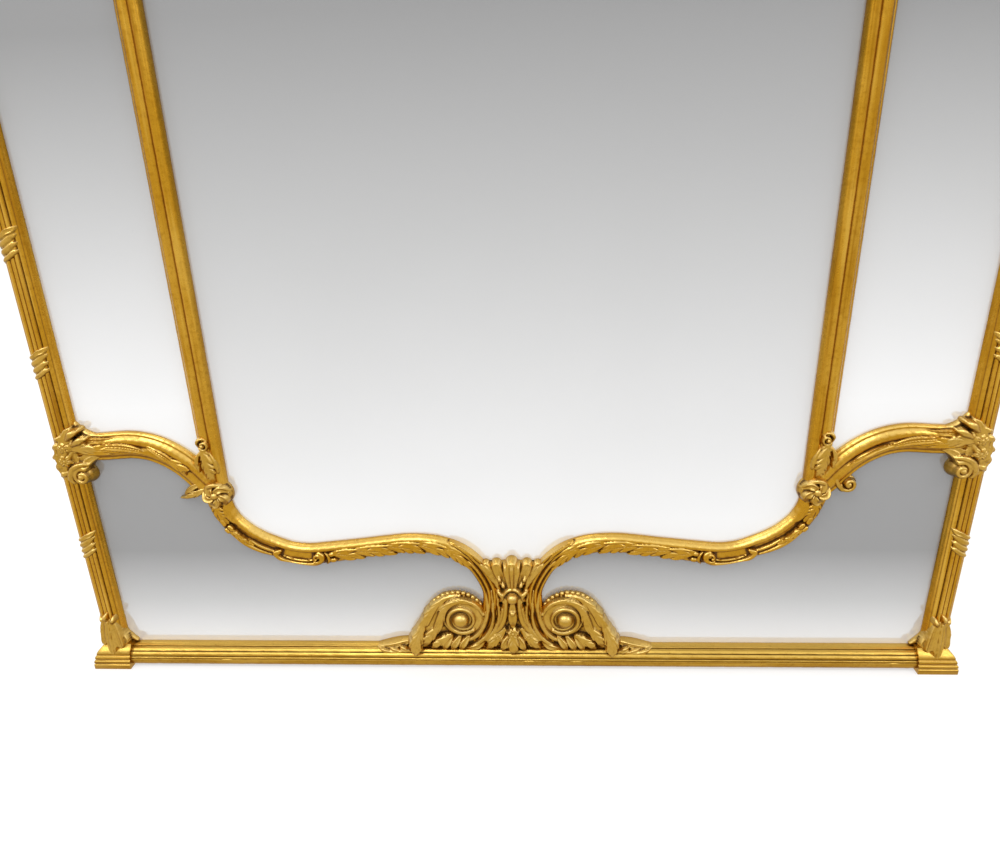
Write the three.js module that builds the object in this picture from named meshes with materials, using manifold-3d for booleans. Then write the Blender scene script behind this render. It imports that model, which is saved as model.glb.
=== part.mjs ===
import * as THREE from 'three';
import { mergeVertices } from 'three/addons/utils/BufferGeometryUtils.js';
import Module from 'manifold-3d';

const wasm = await Module();
wasm.setup();
const { Manifold, Mesh: SolidMesh } = wasm;

// Sectional overmantel mirror. Millimetres, +X right, front faces -Y, +Z up.
// Origin: middle of the underside of the two plinth blocks.

// Clearances and levels from front to back
const fitGap = 0.3;
const frameFront = -37;
const frameBack = 37;
const glassThickness = 5;
const boardThickness = 9.7;
const battenBack = 30;
const lipBack = -fitGap;
const boardFront = glassThickness + fitGap;
const boardBack = boardFront + boardThickness;
const battenFront = boardBack + fitGap;
const tongueBack = boardFront - fitGap;
const cutterReach = 23;

// Outer frame
const stileCentre = 728;
const stileWidth = 40;
const stileHalf = stileWidth / 2;
const stileOuter = stileCentre + stileHalf;
const stileSight = stileCentre - stileHalf;
const rebateDepth = 8;
const rebateOffset = stileHalf - rebateDepth;
const reedCount = 4;
const reedWidth = 7;
const reedCrest = -20;
const reedValley = -17.2;
const midHeight = 937;
const overHeight = 2 * midHeight;
const shoulderDrop = 234;
const stileTop = overHeight - shoulderDrop;
const crownRise = 230;
const crownTop = stileTop + crownRise;
const plinthReturn = 11;
const plinthInner = stileSight - plinthReturn;
const plinthHeight = 42;
const railTop = 37.2;
const railLedge = 29;
const railBottom = 6;

// Inner frame
const innerCentre = 488;
const innerHalf = 19.5;
const tongueHalf = 2.5;
const tongueClear = tongueHalf + fitGap;
const knuckleX = innerCentre + 3;
const knuckleZ = 346;
const knuckleRadius = 20;
const hubRadius = 6;
const knuckleSides = 12;
const archHalf = 21.5;
const scrollHalf = 15;

// Ribbon ties carved over the reeds
const lowTie = 246;
const tiePitch = 183;
const tieHeights = [lowTie, ...[-2, -1, 0, 1, 2].map((step) => midHeight + step * tiePitch)];

// Wall hangers
const hangerX = 470;
const hangerDrop = 160;
const hangerZ = stileTop - hangerDrop;
const wireRadius = 1.6;
const boreRadius = wireRadius + fitGap;
const knuckleSheet = 1;
const ringAxisY = 33.6;
const ringHalf = 14;
const ringDrop = 22;
const strapWidth = 20;
const strapHeight = 56;
const strapFront = battenBack + fitGap;
const strapThickness = 1.6;
const screwRadius = 2;
const screwHeadRadius = 4.2;
const screwHeadHeight = 1.8;
const screwLength = 12;
const screwRises = [18, 42];

// A drawn line stretched so that its ends land on the two given places
function placed(drawn, first, last) {
  const start = drawn[0];
  const end = drawn.at(-1);
  return drawn.map((point) => point.map((value, i) => (
    first[i] + (value - start[i]) * ((last[i] - first[i]) / (end[i] - start[i]))
  )));
}

// Centre lines of the curved rails, right half, drawn from the outer stile or knuckle inwards
const archSpring = 427;
const archLine = placed([
  [708, 427], [684, 427.5], [660, 428.5], [640, 430], [620, 430.5], [600, 428],
  [580, 422], [560, 412], [540, 397.5], [522, 379.5], [507, 361], [491, 346],
], [stileSight, archSpring], [knuckleX, knuckleZ]);
const scrollLine = placed([
  [491, 346], [488, 322], [481, 301], [470, 282], [450, 262], [425, 246], [400, 235.5],
  [375, 228], [350, 224.5], [325, 225.5], [300, 228.5], [250, 235.5], [200, 242], [175, 244],
  [150, 243.5], [125, 240], [100, 231.5], [80, 219], [62, 201], [48, 178], [38, 152], [37, 128],
  [41, 102], [49, 76], [58, 50], [64, 22],
], [knuckleX, knuckleZ], [64, 22]);
// The top rail rises from the shoulder of the stile to the crown
const topLine = placed([
  [728, 0], [727, 32], [716, 66], [690, 97], [650, 117], [590, 128], [500, 136], [410, 146],
  [320, 163], [230, 186], [140, 210], [70, 224], [0, 230],
], [stileCentre, stileTop], [0, crownTop]);

// ---------- geometry helpers ----------

function toSolid(geometry) {
  const bare = new THREE.BufferGeometry();
  bare.setAttribute('position', geometry.getAttribute('position').clone());
  if (geometry.index) {
    bare.setIndex(geometry.index.clone());
  }
  const merged = mergeVertices(bare, 1e-4);
  return new Manifold(new SolidMesh({
    numProp: 3,
    vertProperties: Float32Array.from(merged.getAttribute('position').array),
    triVerts: Uint32Array.from(merged.index.array),
  }));
}

function toGeometry(solid) {
  const mesh = solid.getMesh();
  const geometry = new THREE.BufferGeometry();
  const positions = Float32Array.from(mesh.vertProperties);
  geometry.setAttribute('position', new THREE.BufferAttribute(positions, 3));
  geometry.setIndex(Array.from(mesh.triVerts));
  return geometry;
}

function cut(body, ...tools) {
  return tools.reduce((left, tool) => Manifold.difference(left, tool), body);
}

function join(...bodies) {
  return bodies.reduce((left, right) => Manifold.union(left, right));
}

function areaOf(section) {
  let area = 0;
  section.forEach(([u, v], i) => {
    const [p, q] = section[(i + 1) % section.length];
    area += (u * q - p * v) / 2;
  });
  return area;
}

function volumeOf(points, faces) {
  let volume = 0;
  const cross = new THREE.Vector3();
  for (const [a, b, c] of faces) {
    volume += points[a].dot(cross.crossVectors(points[b], points[c])) / 6;
  }
  return volume;
}

// Skin between rings of equal point count; flat ends follow the given section outline
function loft(rings, section, isRound = false) {
  const count = rings[0].length;
  const points = rings.flat();
  const faces = [];
  const spans = isRound ? rings.length : rings.length - 1;
  for (let i = 0; i < spans; i += 1) {
    const a = i * count;
    const b = ((i + 1) % rings.length) * count;
    for (let j = 0; j < count; j += 1) {
      const k = (j + 1) % count;
      faces.push([a + j, a + k, b + k], [a + j, b + k, b + j]);
    }
  }
  if (!isRound) {
    const flat = section.map(([u, v]) => new THREE.Vector2(u, v));
    const last = (rings.length - 1) * count;
    const sign = Math.sign(areaOf(section));
    for (const [p, q, r] of THREE.ShapeUtils.triangulateShape(flat, [])) {
      const turn = Math.sign(areaOf([section[p], section[q], section[r]])) * sign;
      const [m, n] = turn > 0 ? [q, r] : [r, q];
      faces.push([p, n, m], [last + p, last + m, last + n]);
    }
  }
  const outward = volumeOf(points, faces) > 0 ? faces : faces.map(([a, b, c]) => [a, c, b]);
  const geometry = new THREE.BufferGeometry();
  geometry.setAttribute(
    'position',
    new THREE.Float32BufferAttribute(points.flatMap((point) => [point.x, point.y, point.z]), 3),
  );
  geometry.setIndex(outward.flat());
  return geometry;
}

// Outline grown outwards by a small distance
function grow(section, distance) {
  const sign = Math.sign(areaOf(section));
  return section.map((point, i) => {
    const before = section[(i + section.length - 1) % section.length];
    const after = section[(i + 1) % section.length];
    const first = new THREE.Vector2(point[0] - before[0], point[1] - before[1]).normalize();
    const second = new THREE.Vector2(after[0] - point[0], after[1] - point[1]).normalize();
    const normal = new THREE.Vector2(first.y + second.y, -first.x - second.x).normalize();
    const spread = Math.max(0.5, normal.dot(new THREE.Vector2(first.y, -first.x)));
    const step = (sign * distance) / spread;
    return [point[0] + normal.x * step, point[1] + normal.y * step];
  });
}

function smooth(line, count) {
  const curve = new THREE.SplineCurve(line.map(([x, z]) => new THREE.Vector2(x, z)));
  const stations = [];
  for (let i = 0; i <= count; i += 1) {
    const at = curve.getPointAt(i / count);
    const tangent = curve.getTangentAt(i / count);
    stations.push({ at, side: new THREE.Vector2(-tangent.y, tangent.x) });
  }
  return stations;
}

// Section (u across, v = depth) carried along a line in the XZ plane
function sweep(stations, section, widthAt = () => 1) {
  const rings = stations.map(({ at, side }, i) => {
    const scale = widthAt(i / (stations.length - 1));
    return section.map(([u, v]) => {
      const reach = u * scale;
      return new THREE.Vector3(at.x + side.x * reach, v, at.y + side.y * reach);
    });
  });
  return loft(rings, section);
}

function beside(stations, distance) {
  return stations.map(({ at, side }) => [at.x + side.x * distance, at.y + side.y * distance]);
}

// Section (x, y) carried straight up
function column(section, low, high) {
  const rings = [low, high].map((z) => section.map(([x, y]) => new THREE.Vector3(x, y, z)));
  return loft(rings, section);
}

// Section (y, z) carried along X
function beam(section, left, right) {
  const rings = [left, right].map((x) => section.map(([y, z]) => new THREE.Vector3(x, y, z)));
  return loft(rings, section);
}

function box(x0, x1, y0, y1, z0, z1) {
  return column([[x0, y0], [x1, y0], [x1, y1], [x0, y1]], z0, z1);
}

// Outline in the XZ plane given depth, with its front edge rounded back by the bevel
function panel(outline, back, front, bevel = 0) {
  const levels = [[outline, back], [outline, front + bevel]];
  if (bevel > 0) {
    levels.push([grow(outline, -bevel), front]);
  }
  const rings = levels.map(([points, y]) => points.map(([x, z]) => new THREE.Vector3(x, y, z)));
  return toSolid(loft(rings, outline));
}

// Turned piece about an axis along Y; profile gives [radius, y] from the front centre to the back centre
function turned(profile, x, z, segments) {
  const points = profile.map(([radius, y]) => new THREE.Vector2(radius, y));
  const geometry = new THREE.LatheGeometry(points, segments);
  geometry.translate(x, 0, z);
  const solid = toSolid(geometry);
  return solid.volume() > 0 ? solid : toSolid(flipped(geometry));
}

function flipped(geometry) {
  const copy = geometry.clone();
  const index = Array.from(copy.index.array);
  for (let i = 0; i < index.length; i += 3) {
    [index[i + 1], index[i + 2]] = [index[i + 2], index[i + 1]];
  }
  copy.setIndex(index);
  return copy;
}

function mirrored(geometry) {
  const copy = flipped(geometry);
  copy.scale(-1, 1, 1);
  return copy;
}

function turnedOver(solid) {
  const geometry = flipped(toGeometry(solid));
  geometry.scale(1, 1, -1);
  geometry.translate(0, 0, overHeight);
  return toSolid(geometry);
}

function overLine(line) {
  return line.map(([x, z]) => [x, overHeight - z]);
}

function bead(x, y, z, radius) {
  const geometry = new THREE.IcosahedronGeometry(radius, radius > 8 ? 1 : 0);
  geometry.translate(x, y, z);
  return toSolid(geometry);
}

// Pointed leaf lobe lying in the XZ plane, raised in the middle
function lobe(x, z, angle, length, width, back, front) {
  const turn = (angle * Math.PI) / 180;
  const along = new THREE.Vector2(Math.sin(turn), Math.cos(turn));
  const across = new THREE.Vector2(along.y, -along.x);
  const stops = [[-0.5, 0.34], [-0.1, 1], [0.3, 0.8], [0.5, 0.2]];
  const rings = stops.map(([t, w]) => {
    const centre = new THREE.Vector2(x + along.x * t * length, z + along.y * t * length);
    const half = (w * width) / 2;
    const rise = back + (front - back) * Math.sqrt(w);
    const flank = (back + rise * 2) / 3;
    const section = [[-half, back], [-half * 0.6, flank], [0, rise], [half * 0.6, flank], [half, back]];
    return section.map(([u, y]) => (
      new THREE.Vector3(centre.x + across.x * u, y, centre.y + across.y * u)
    ));
  });
  return toSolid(loft(rings, [[-3, 0], [-2, 1], [0, 2], [2, 1], [3, 0]]));
}

// ---------- mouldings ----------

function reedProfile() {
  const reedsEnd = reedCount * reedWidth - stileHalf;
  const band = stileHalf - reedsEnd;
  const points = [[-stileHalf, frameBack], [-stileHalf, reedValley]];
  for (let i = 0; i < reedCount; i += 1) {
    const start = -stileHalf + i * reedWidth;
    points.push([start + reedWidth * 0.3, reedCrest]);
    points.push([start + reedWidth * 0.7, reedCrest]);
    points.push([start + reedWidth, reedValley]);
  }
  points.push([reedsEnd + band / 6, -11], [reedsEnd + band * 0.375, -13.5], [reedsEnd + band * 0.75, -13]);
  points.push([stileHalf, -8], [stileHalf, lipBack], [rebateOffset, lipBack], [rebateOffset, frameBack]);
  return points;
}

// Front of a moulding drawn at one half width and set to another, with the tongue behind it
function tongued(front, half) {
  const drawn = Math.abs(front[0][0]);
  const turn = Math.sign(front[0][0]);
  return [
    ...front.map(([u, v]) => [(u * half) / drawn, v]),
    [-tongueHalf * turn, lipBack], [-tongueHalf * turn, tongueBack],
    [tongueHalf * turn, tongueBack], [tongueHalf * turn, lipBack],
  ];
}

const stileSection = reedProfile();
const innerSection = tongued([
  [19.5, lipBack], [19.5, -5], [14.5, -8.5], [13, -13], [9, -16.5], [3, -17.5], [-1.5, -15],
  [-3.5, -12], [-7, -15.5], [-12, -15.5], [-16.5, -11.5], [-19, -7.5], [-19, lipBack],
], innerHalf).map(([u, v]) => [innerCentre + u, v]);
const archSection = tongued([
  [-21.5, lipBack], [-19.5, -11], [-16, -9], [-10, -15.8], [-2, -16.8], [3, -12.5], [9, -15],
  [15.5, -9], [19, -12], [21.5, lipBack],
], archHalf);
const scrollSection = tongued([
  [-15, lipBack], [-13.5, -9.5], [-8, -15], [-3, -15.8], [1, -13], [7, -16.6], [12, -15],
  [15, -9], [15, lipBack],
], scrollHalf);
const baseSection = [
  [frameBack, railBottom], [-27.5, railBottom], [-30, 8], [-30.6, 12.5], [-29.4, 17], [-27.8, 18.2],
  [-29.8, 20.5], [-29.8, 22.8], [-27.6, 24.8], [-28.6, 27.2], [-27.2, 29.8], [-24.6, 31], [-22.8, 30],
  [-20.6, 32.2], [-17.2, 32.8], [-14.8, 31.4], [-12.4, 34.4], [-6.5, railTop - 0.4], [lipBack, railTop],
  [lipBack, railLedge], [frameBack, railLedge],
];
// Plinth moulding: [outward step, height]
const plinthSteps = [
  [17, 0], [17, 8.5], [15, 10], [16.3, 12.5], [15.6, 15.5], [13.2, 17], [14.4, 20], [13.2, 23.5], [11, 24.8],
  [11.4, 28], [8.2, 33], [3.6, 37.6], [0, plinthHeight],
];

function plinth(extra) {
  const rings = plinthSteps.map(([step, height], i) => {
    const rise = i === plinthSteps.length - 1 ? extra : 0;
    const out = stileOuter + step + extra;
    const front = reedCrest - step - extra;
    const back = frameBack + extra;
    const inner = plinthInner - extra;
    return [[inner, front], [out, front], [out, back], [inner, back]]
      .map(([x, y]) => new THREE.Vector3(x, y, height + rise));
  });
  return loft(rings, [[0, 0], [1, 0], [1, 1], [0, 1]]);
}

// ---------- curved rails and what cuts them ----------

const archStations = smooth(archLine, 12);
const scrollStations = smooth(scrollLine, 22);
const topStations = smooth(topLine, 14);

function hubCutter(z, radius) {
  return turned([[0, frameFront], [radius, frameFront], [radius, tongueBack + 1], [0, tongueBack + 1]],
    knuckleX, z, knuckleSides);
}

function flatCutter(z0, z1) {
  return toSolid(box(stileSight - fitGap, stileOuter, frameFront, frameBack, z0, z1));
}

const scrollWidth = (t) => (t < 0.22 ? 1.12 : 1 + 0.12 * Math.max(0, 1 - Math.abs(t - 0.34) / 0.1));
const baseRailGrown = toSolid(beam(grow(baseSection, fitGap), -plinthInner, plinthInner));
const topRailSolid = toSolid(sweep(topStations, stileSection));
const topRailGrown = toSolid(sweep(topStations, grow(stileSection, fitGap)));
const topRailBoth = join(topRailGrown, toSolid(mirrored(toGeometry(topRailGrown))));
const stileGrown = toSolid(column(
  grow(stileSection.map(([u, v]) => [stileCentre - u, v]), fitGap),
  plinthHeight,
  stileTop,
));
const innerGrown = toSolid(column(grow(innerSection, fitGap), knuckleZ, overHeight - knuckleZ));
const knuckleGrown = hubCutter(knuckleZ, knuckleRadius + fitGap);
const archGrown = toSolid(sweep(archStations, grow(archSection, fitGap)));
const scrollGrown = toSolid(sweep(scrollStations, grow(scrollSection, fitGap), scrollWidth));
const scrollGrownBoth = join(scrollGrown, toSolid(mirrored(toGeometry(scrollGrown))));
const upperKnuckleGrown = hubCutter(overHeight - knuckleZ, knuckleRadius + fitGap);
const plinthGrown = toSolid(plinth(fitGap));

function curl(x, z, radius, back, front) {
  return turned([
    [0, front], [radius * 0.36, front + 1], [radius * 0.5, front + 4], [radius * 0.7, front + 1.4],
    [radius, front + 5], [radius, back], [0, back],
  ], x, z, 10);
}

const archBody = cut(toSolid(sweep(archStations, archSection)), knuckleGrown, flatCutter(0, overHeight));
const [bendX, bendZ] = archLine[8];
const archCurl = curl(bendX - 1, bendZ - 36.5, 12.5, -4, -19);
const archTip = lobe(bendX - 6, bendZ - 40.5, 112, 36, 14, -4, -17);
const archRight = cut(join(archBody, archCurl), knuckleGrown, cut(scrollGrown, knuckleGrown));
const archLeft = cut(join(archBody, archTip), knuckleGrown, cut(scrollGrown, knuckleGrown));
const scrollBody = cut(
  toSolid(sweep(scrollStations, scrollSection, scrollWidth)),
  knuckleGrown,
  baseRailGrown,
);
const innerBody = cut(
  toSolid(column(innerSection, knuckleZ, overHeight - knuckleZ)),
  knuckleGrown,
  upperKnuckleGrown,
  archGrown,
  turnedOver(archGrown),
);

// The upper rails are the same mouldings turned over, the scroll cut off at the top rail
const upperArch = turnedOver(cut(archBody, cut(scrollGrown, knuckleGrown)));
const upperScroll = cut(
  turnedOver(cut(toSolid(sweep(scrollStations, scrollSection, scrollWidth)), knuckleGrown)),
  topRailBoth,
);

// ---------- carved pieces ----------

function tie(height) {
  const levels = [
    [-29, 3.6, 0.02], [-20, 1.2, 0.1], [-10, 4.4, 0.3], [-2, 1.2, 0.4], [9, 4.4, 0.6],
  ];
  const inner = reedCrest + 5;
  const rings = levels.map(([rise, thick, slope]) => {
    const front = reedCrest - thick;
    const side = stileOuter + thick * 0.8;
    const outline = [
      [stileOuter - 28, inner], [stileOuter - 27, front], [stileOuter - 4, front], [side, front + 5],
      [side, -5], [stileOuter - 2, -5], [stileOuter - 2, inner],
    ];
    return outline.map(([x, y]) => new THREE.Vector3(x, y, height + rise + slope * (stileOuter - x)));
  });
  return toSolid(loft(rings, [[0, 1], [0, 3], [4, 3], [6, 2], [6, 0], [5, 0], [5, 1]]));
}

const stileBody = join(
  toSolid(column(stileSection.map(([u, v]) => [stileCentre - u, v]), plinthHeight + fitGap, stileTop)),
  ...tieHeights.map(tie),
);

const footOutline = [
  [-21, 36], [-16, 50], [-19, 66], [-15, 84], [-10, 98], [-4, 110], [5, 112], [13, 106], [24, 100],
  [27, 84], [29, 60], [33, 46], [30, 34], [12, 28], [-6, 28],
].map(([dx, z]) => [stileCentre + dx, z]);
const footInner = stileSight - cutterReach;
const footLeaf = cut(
  join(
    panel(footOutline, 8, -31, 4),
    lobe(stileCentre + 5, 62, 4, 80, 30, -22, -36.5),
    bead(stileCentre - 1, -28, 104, 6.5),
    bead(stileCentre + 15, -26, 98, 6.5),
  ),
  stileGrown,
  plinthGrown,
  toSolid(box(footInner, stileOuter + cutterReach, frameFront - cutterReach, frameBack, 0, 27)),
  toSolid(box(footInner, stileOuter + fitGap, lipBack, frameBack, 0, 200)),
);

const junctionOutline = [
  [-17, 47], [-24, 36], [-38, 29], [-41, 23], [-33, 19], [-42, 14], [-35, 7], [-46, -2], [-36, -10],
  [-42, -20], [-40, -31], [-35, -43], [-25, -56], [-19, -67], [-9, -73], [2, -69], [10, -60], [18, -54],
  [21, -43], [26.5, -33], [23, -23], [26, -11], [23, 2], [16, 12], [8, 20], [-2, 29], [-10, 39],
].map(([dx, dz]) => [stileCentre + dx, archSpring + dz]);
const junctionLump = join(
  panel(junctionOutline, -4, -27, 4),
  curl(stileCentre - 14, archSpring - 39, 13, -20, -36),
  lobe(stileCentre - 22, archSpring + 35, -30, 30, 13, -18, -34),
  lobe(stileCentre + 9, archSpring - 7, -12, 44, 17, -18, -33.5),
  lobe(stileCentre - 20, archSpring - 7, -52, 46, 15, -16, -31),
);
const junction = cut(junctionLump, stileGrown, archGrown);
const upperJunction = turnedOver(junction);

const knuckleProfile = [
  [0, -31.5], [4.5, -31], [7, -28], [11, -30], [15, -28.5], [knuckleRadius, -21],
  [knuckleRadius, lipBack], [hubRadius, lipBack], [hubRadius, tongueBack], [0, tongueBack],
];
const knuckle = turned(knuckleProfile, knuckleX, knuckleZ, knuckleSides);
const upperKnuckle = turnedOver(knuckle);

const stileLeafOutline = [
  [3, 98], [-4, 93], [-7, 84], [-4, 74], [-10, 63], [-12, 48], [-15, 36], [-12, 25], [-1, 22],
  [12, 24], [21, 34], [23, 48], [18, 59], [21, 70], [17, 82], [12, 93],
].map(([dx, dz]) => [knuckleX + dx, knuckleZ + dz]);
const stileLeaf = cut(
  join(
    panel(stileLeafOutline, -3, -21, 3),
    curl(knuckleX + 4, knuckleZ + 86, 9, -16, -27),
    lobe(knuckleX - 3, knuckleZ + 48, -8, 52, 14, -14, -26),
    lobe(knuckleX + 12, knuckleZ + 50, 12, 48, 13, -10, -24),
  ),
  innerGrown,
  archGrown,
  knuckleGrown,
);

// Centre cartouche: palmette above a ball, hanging stem and flower below, between the two scrolls
const cartoucheOutline = [
  [0, 236], [9, 231], [14, 222], [21, 227], [30, 229], [38, 226], [34, 214], [27, 200], [22, 184], [18, 168],
  [18, 150], [20, 130], [22, 110], [29, 88], [38, 66], [45, 48], [42, 20],
];
const cartoucheFull = [
  ...cartoucheOutline,
  ...cartoucheOutline.slice(1).reverse().map(([x, z]) => [-x, z]),
];

function cartouche(...rails) {
  const lobes = [[0, 200, 0, 76, 22], [17, 200, 20, 62, 15], [-17, 200, -20, 62, 15]];
  const petals = [[0, 56, 180, 44, 19], [16, 60, 156, 36, 14], [-16, 60, 204, 36, 14]];
  return cut(
    join(
      panel(cartoucheFull, lipBack, -17, 3),
      toSolid(box(-10, 10, -5, tongueBack, 44, 204)),
      ...lobes.map(([x, z, angle, length, width]) => lobe(x, z, angle, length, width, -14, -27)),
      ...petals.map(([x, z, angle, length, width]) => lobe(x, z, angle, length, width, -13, -32)),
      lobe(0, 104, 180, 66, 17, -13, -27),
      bead(0, -24, 144, 9),
      bead(13, -21, 147, 6.5),
      bead(-13, -21, 147, 6.5),
      bead(0, -25, 112, 6),
    ),
    ...rails,
  );
}

const centreCartouche = cartouche(baseRailGrown, scrollGrownBoth);
const upperScrollGrown = turnedOver(scrollGrown);
const upperScrollBoth = join(upperScrollGrown, toSolid(mirrored(toGeometry(upperScrollGrown))));
const aboveTopRail = panel([
  ...topLine,
  ...topLine.slice(0, -1).reverse().map(([x, z]) => [-x, z]),
  [-stileCentre, crownTop + stileCentre],
  [stileCentre, crownTop + stileCentre],
], frameBack, frameFront);
const upperCartouche = cut(
  turnedOver(cartouche(scrollGrownBoth)),
  aboveTopRail,
  topRailBoth,
  upperScrollBoth,
);

// Base volute: spiral round a boss, scalloped shell crest, leaf draped over the base rail
const volutePlace = { x: 89, z: 95 };
function voluteOutline() {
  const points = [[52, 118], [56, 132]];
  const scallops = 10;
  for (let i = 0; i <= scallops * 2; i += 1) {
    const t = i / (scallops * 2);
    const angle = THREE.MathUtils.degToRad(140 - 124 * t);
    const reach = 58 + 13 * t ** 2 + (i % 2 ? 2.4 : 0);
    points.push([volutePlace.x + 4 * t + reach * Math.cos(angle), volutePlace.z + reach * Math.sin(angle)]);
  }
  points.push([169, 96], [178, 80], [186, 68], [187, 50], [181, 34], [174, 22], [166, 28]);
  points.push([158, 40], [150, 34], [100, 28], [60, 28]);
  return points;
}
const volute = cut(
  join(
    panel(voluteOutline(), lipBack, -18, 3),
    turned([
      [0, -36], [8, -34.5], [15, -27], [18.5, -23.5], [21.5, -27.5], [26, -27], [30, -21.5], [36, -24.5],
      [41, -17], [41, -8], [0, -8],
    ], volutePlace.x, volutePlace.z, 16),
    panel([
      [164, 80], [156, 66], [157, 46], [166, 30], [173, 22], [181, 32], [187, 48], [186, 66], [176, 84],
    ], -10, -35.5, 4),
    lobe(136, 66, 10, 66, 17, -14, -27),
    lobe(122, 54, 52, 46, 14, -16, -29),
  ),
  scrollGrown,
  baseRailGrown,
);

const sprayStart = 188.5;
const sprayOutline = [
  [sprayStart, 30], [sprayStart, 57], [197, 58], [208, 54], [220, 50], [232, 45], [245, 38], [240, 30],
];
const spray = cut(
  join(
    panel(sprayOutline, -3, -24, 4),
    lobe(214, 46, 108, 56, 16, -14, -31),
  ),
  baseRailGrown,
  volute,
  toSolid(box(100, sprayStart - fitGap, frameFront - cutterReach, frameBack, 0, 100)),
);

// Crest: fluted shell on the crown of the top rail with a leaf spray to each side
const crestZ = crownTop + 16;
const crestFoot = crownTop - 15;
function shellOutline() {
  const flutes = 9;
  const points = [[66, crownTop - 17], [92, crownTop + 2], [104, crownTop + 20]];
  for (let i = 0; i <= flutes * 2; i += 1) {
    const t = i / (flutes * 2);
    const angle = THREE.MathUtils.degToRad(12 + 156 * t);
    const swell = 1 - Math.abs(2 * t - 1);
    const reach = 96 + 34 * Math.sin(swell * Math.PI / 2) + (i % 2 ? 5 : 0);
    points.push([reach * Math.cos(angle), crestZ + reach * Math.sin(angle)]);
  }
  points.push([-104, crownTop + 20], [-92, crownTop + 2], [-66, crownTop - 17]);
  points.push([-30, crownTop - 24], [0, crownTop - 28], [30, crownTop - 24]);
  return points;
}
const shellFlutes = [];
for (let i = 0; i < 7; i += 1) {
  const angle = -72 + 24 * i;
  const turn = THREE.MathUtils.degToRad(angle);
  const reach = 72 + 8 * Math.cos(turn);
  shellFlutes.push(lobe(reach * Math.sin(turn), crestZ + reach * Math.cos(turn), angle, 92, 26, -20, -31));
}
function belowCrown(front, top) {
  return toSolid(box(-stileCentre, stileCentre, front, frameBack + cutterReach, stileTop, top));
}

const crestShell = cut(
  join(
    panel(shellOutline(), 12, -25, 4),
    ...shellFlutes,
    curl(86, crownTop + 10, 19, -12, -35),
    curl(-86, crownTop + 10, 19, -12, -35),
    turned([[0, -36.5], [10, -35], [17, -30], [20, -24], [20, -12], [0, -12]], 0, crestZ, 12),
  ),
  topRailBoth,
  belowCrown(frameFront - cutterReach, crestFoot),
  belowCrown(-10, crestFoot + 8),
);
const crestSprayOutline = [
  [112, -20], [112, 28], [124, 33], [140, 24], [158, 23], [176, 12], [196, 9], [214, -3],
  [236, -8], [254, -20], [276, -27], [300, -43], [282, -46], [240, -38], [200, -32], [150, -24],
].map(([x, rise]) => [x, crownTop + rise]);
const crestSpray = cut(
  join(
    panel(crestSprayOutline, 6, -25, 4),
    lobe(140, crownTop + 14, 105, 58, 20, -20, -34),
    lobe(188, crownTop - 2, 110, 60, 18, -20, -32),
    lobe(240, crownTop - 22, 112, 66, 16, -20, -31),
  ),
  topRailGrown,
);

// ---------- mirror plates and back ----------

const rebateX = stileCentre - rebateOffset - fitGap;
const plateBottom = railLedge + fitGap;
const archUpper = beside(archStations, -tongueClear);
const archLower = beside(archStations, tongueClear);
const scrollUpper = beside(scrollStations, -tongueClear);
const scrollLower = beside(scrollStations, tongueClear);
const topInner = beside(topStations, rebateOffset + fitGap).map(([x, z], i, all) => (
  i === all.length - 1 ? [0, z] : [x, z]
));
const plateLow = 206;

// Part of a line where the measure stays above the limit, with the crossing point worked out
function above(line, measure, limit) {
  const kept = [];
  line.forEach((point, i) => {
    const here = measure(point) - limit;
    if (i > 0) {
      const last = line[i - 1];
      const there = measure(last) - limit;
      if (here * there < 0) {
        const t = there / (there - here);
        kept.push([last[0] + (point[0] - last[0]) * t, last[1] + (point[1] - last[1]) * t]);
      }
    }
    if (here >= 0) {
      kept.push(point);
    }
  });
  return kept;
}

function plate(outline, back = glassThickness, front = 0) {
  return cut(
    panel(outline, back, front),
    hubCutter(knuckleZ, hubRadius + fitGap),
    hubCutter(overHeight - knuckleZ, hubRadius + fitGap),
  );
}

const outward = ([x]) => x;
const inward = ([x]) => -x;
const upward = ([, z]) => z;
const innerEdge = innerCentre - tongueClear;
const outerEdge = innerCentre + tongueClear;

const sideLower = above(above(archUpper, inward, -rebateX), outward, outerEdge);
const sideOutline = [[rebateX, sideLower[0][1]], ...sideLower];
const sidePlate = plate([...sideOutline, ...overLine(sideOutline).reverse()]);

const centreLower = above(above(scrollUpper, inward, -innerEdge), upward, plateLow);
const centreUnder = [...centreLower, ...centreLower.slice().reverse().map(([x, z]) => [-x, z])];
const centreOver = overLine(centreUnder).reverse();
const centrePlate = cut(
  panel([...centreUnder, ...centreOver], glassThickness, 0),
  ...[knuckleZ, overHeight - knuckleZ].flatMap((z) => [-knuckleX, knuckleX].map((x) => (
    turned([[0, -5], [hubRadius + fitGap, -5], [hubRadius + fitGap, 10], [0, 10]], x, z, knuckleSides)
  ))),
);

const lowerArch = above(above(archLower, inward, -rebateX), outward, knuckleX + hubRadius);
const lowerScroll = above(scrollLower, upward, plateBottom);
const lowerOutline = [
  [plinthInner - fitGap, plateBottom],
  [plinthInner - fitGap, plinthHeight + fitGap],
  [rebateX, plinthHeight + fitGap],
  [rebateX, lowerArch[0][1]],
  ...lowerArch,
  ...lowerScroll,
];
const lowerPlate = plate(lowerOutline);

// The upper plate runs up into the rebate of the top rail
const scrollEnd = overLine(above(scrollLower, upward, plateBottom - 6));
const upperStart = scrollEnd.at(-1)[0];
const upperOutline = [
  ...overLine(lowerArch),
  ...scrollEnd,
  ...above(topInner, outward, upperStart).reverse(),
  [rebateX, overHeight - lowerArch[0][1]],
];
const upperPlate = plate(upperOutline);

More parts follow.
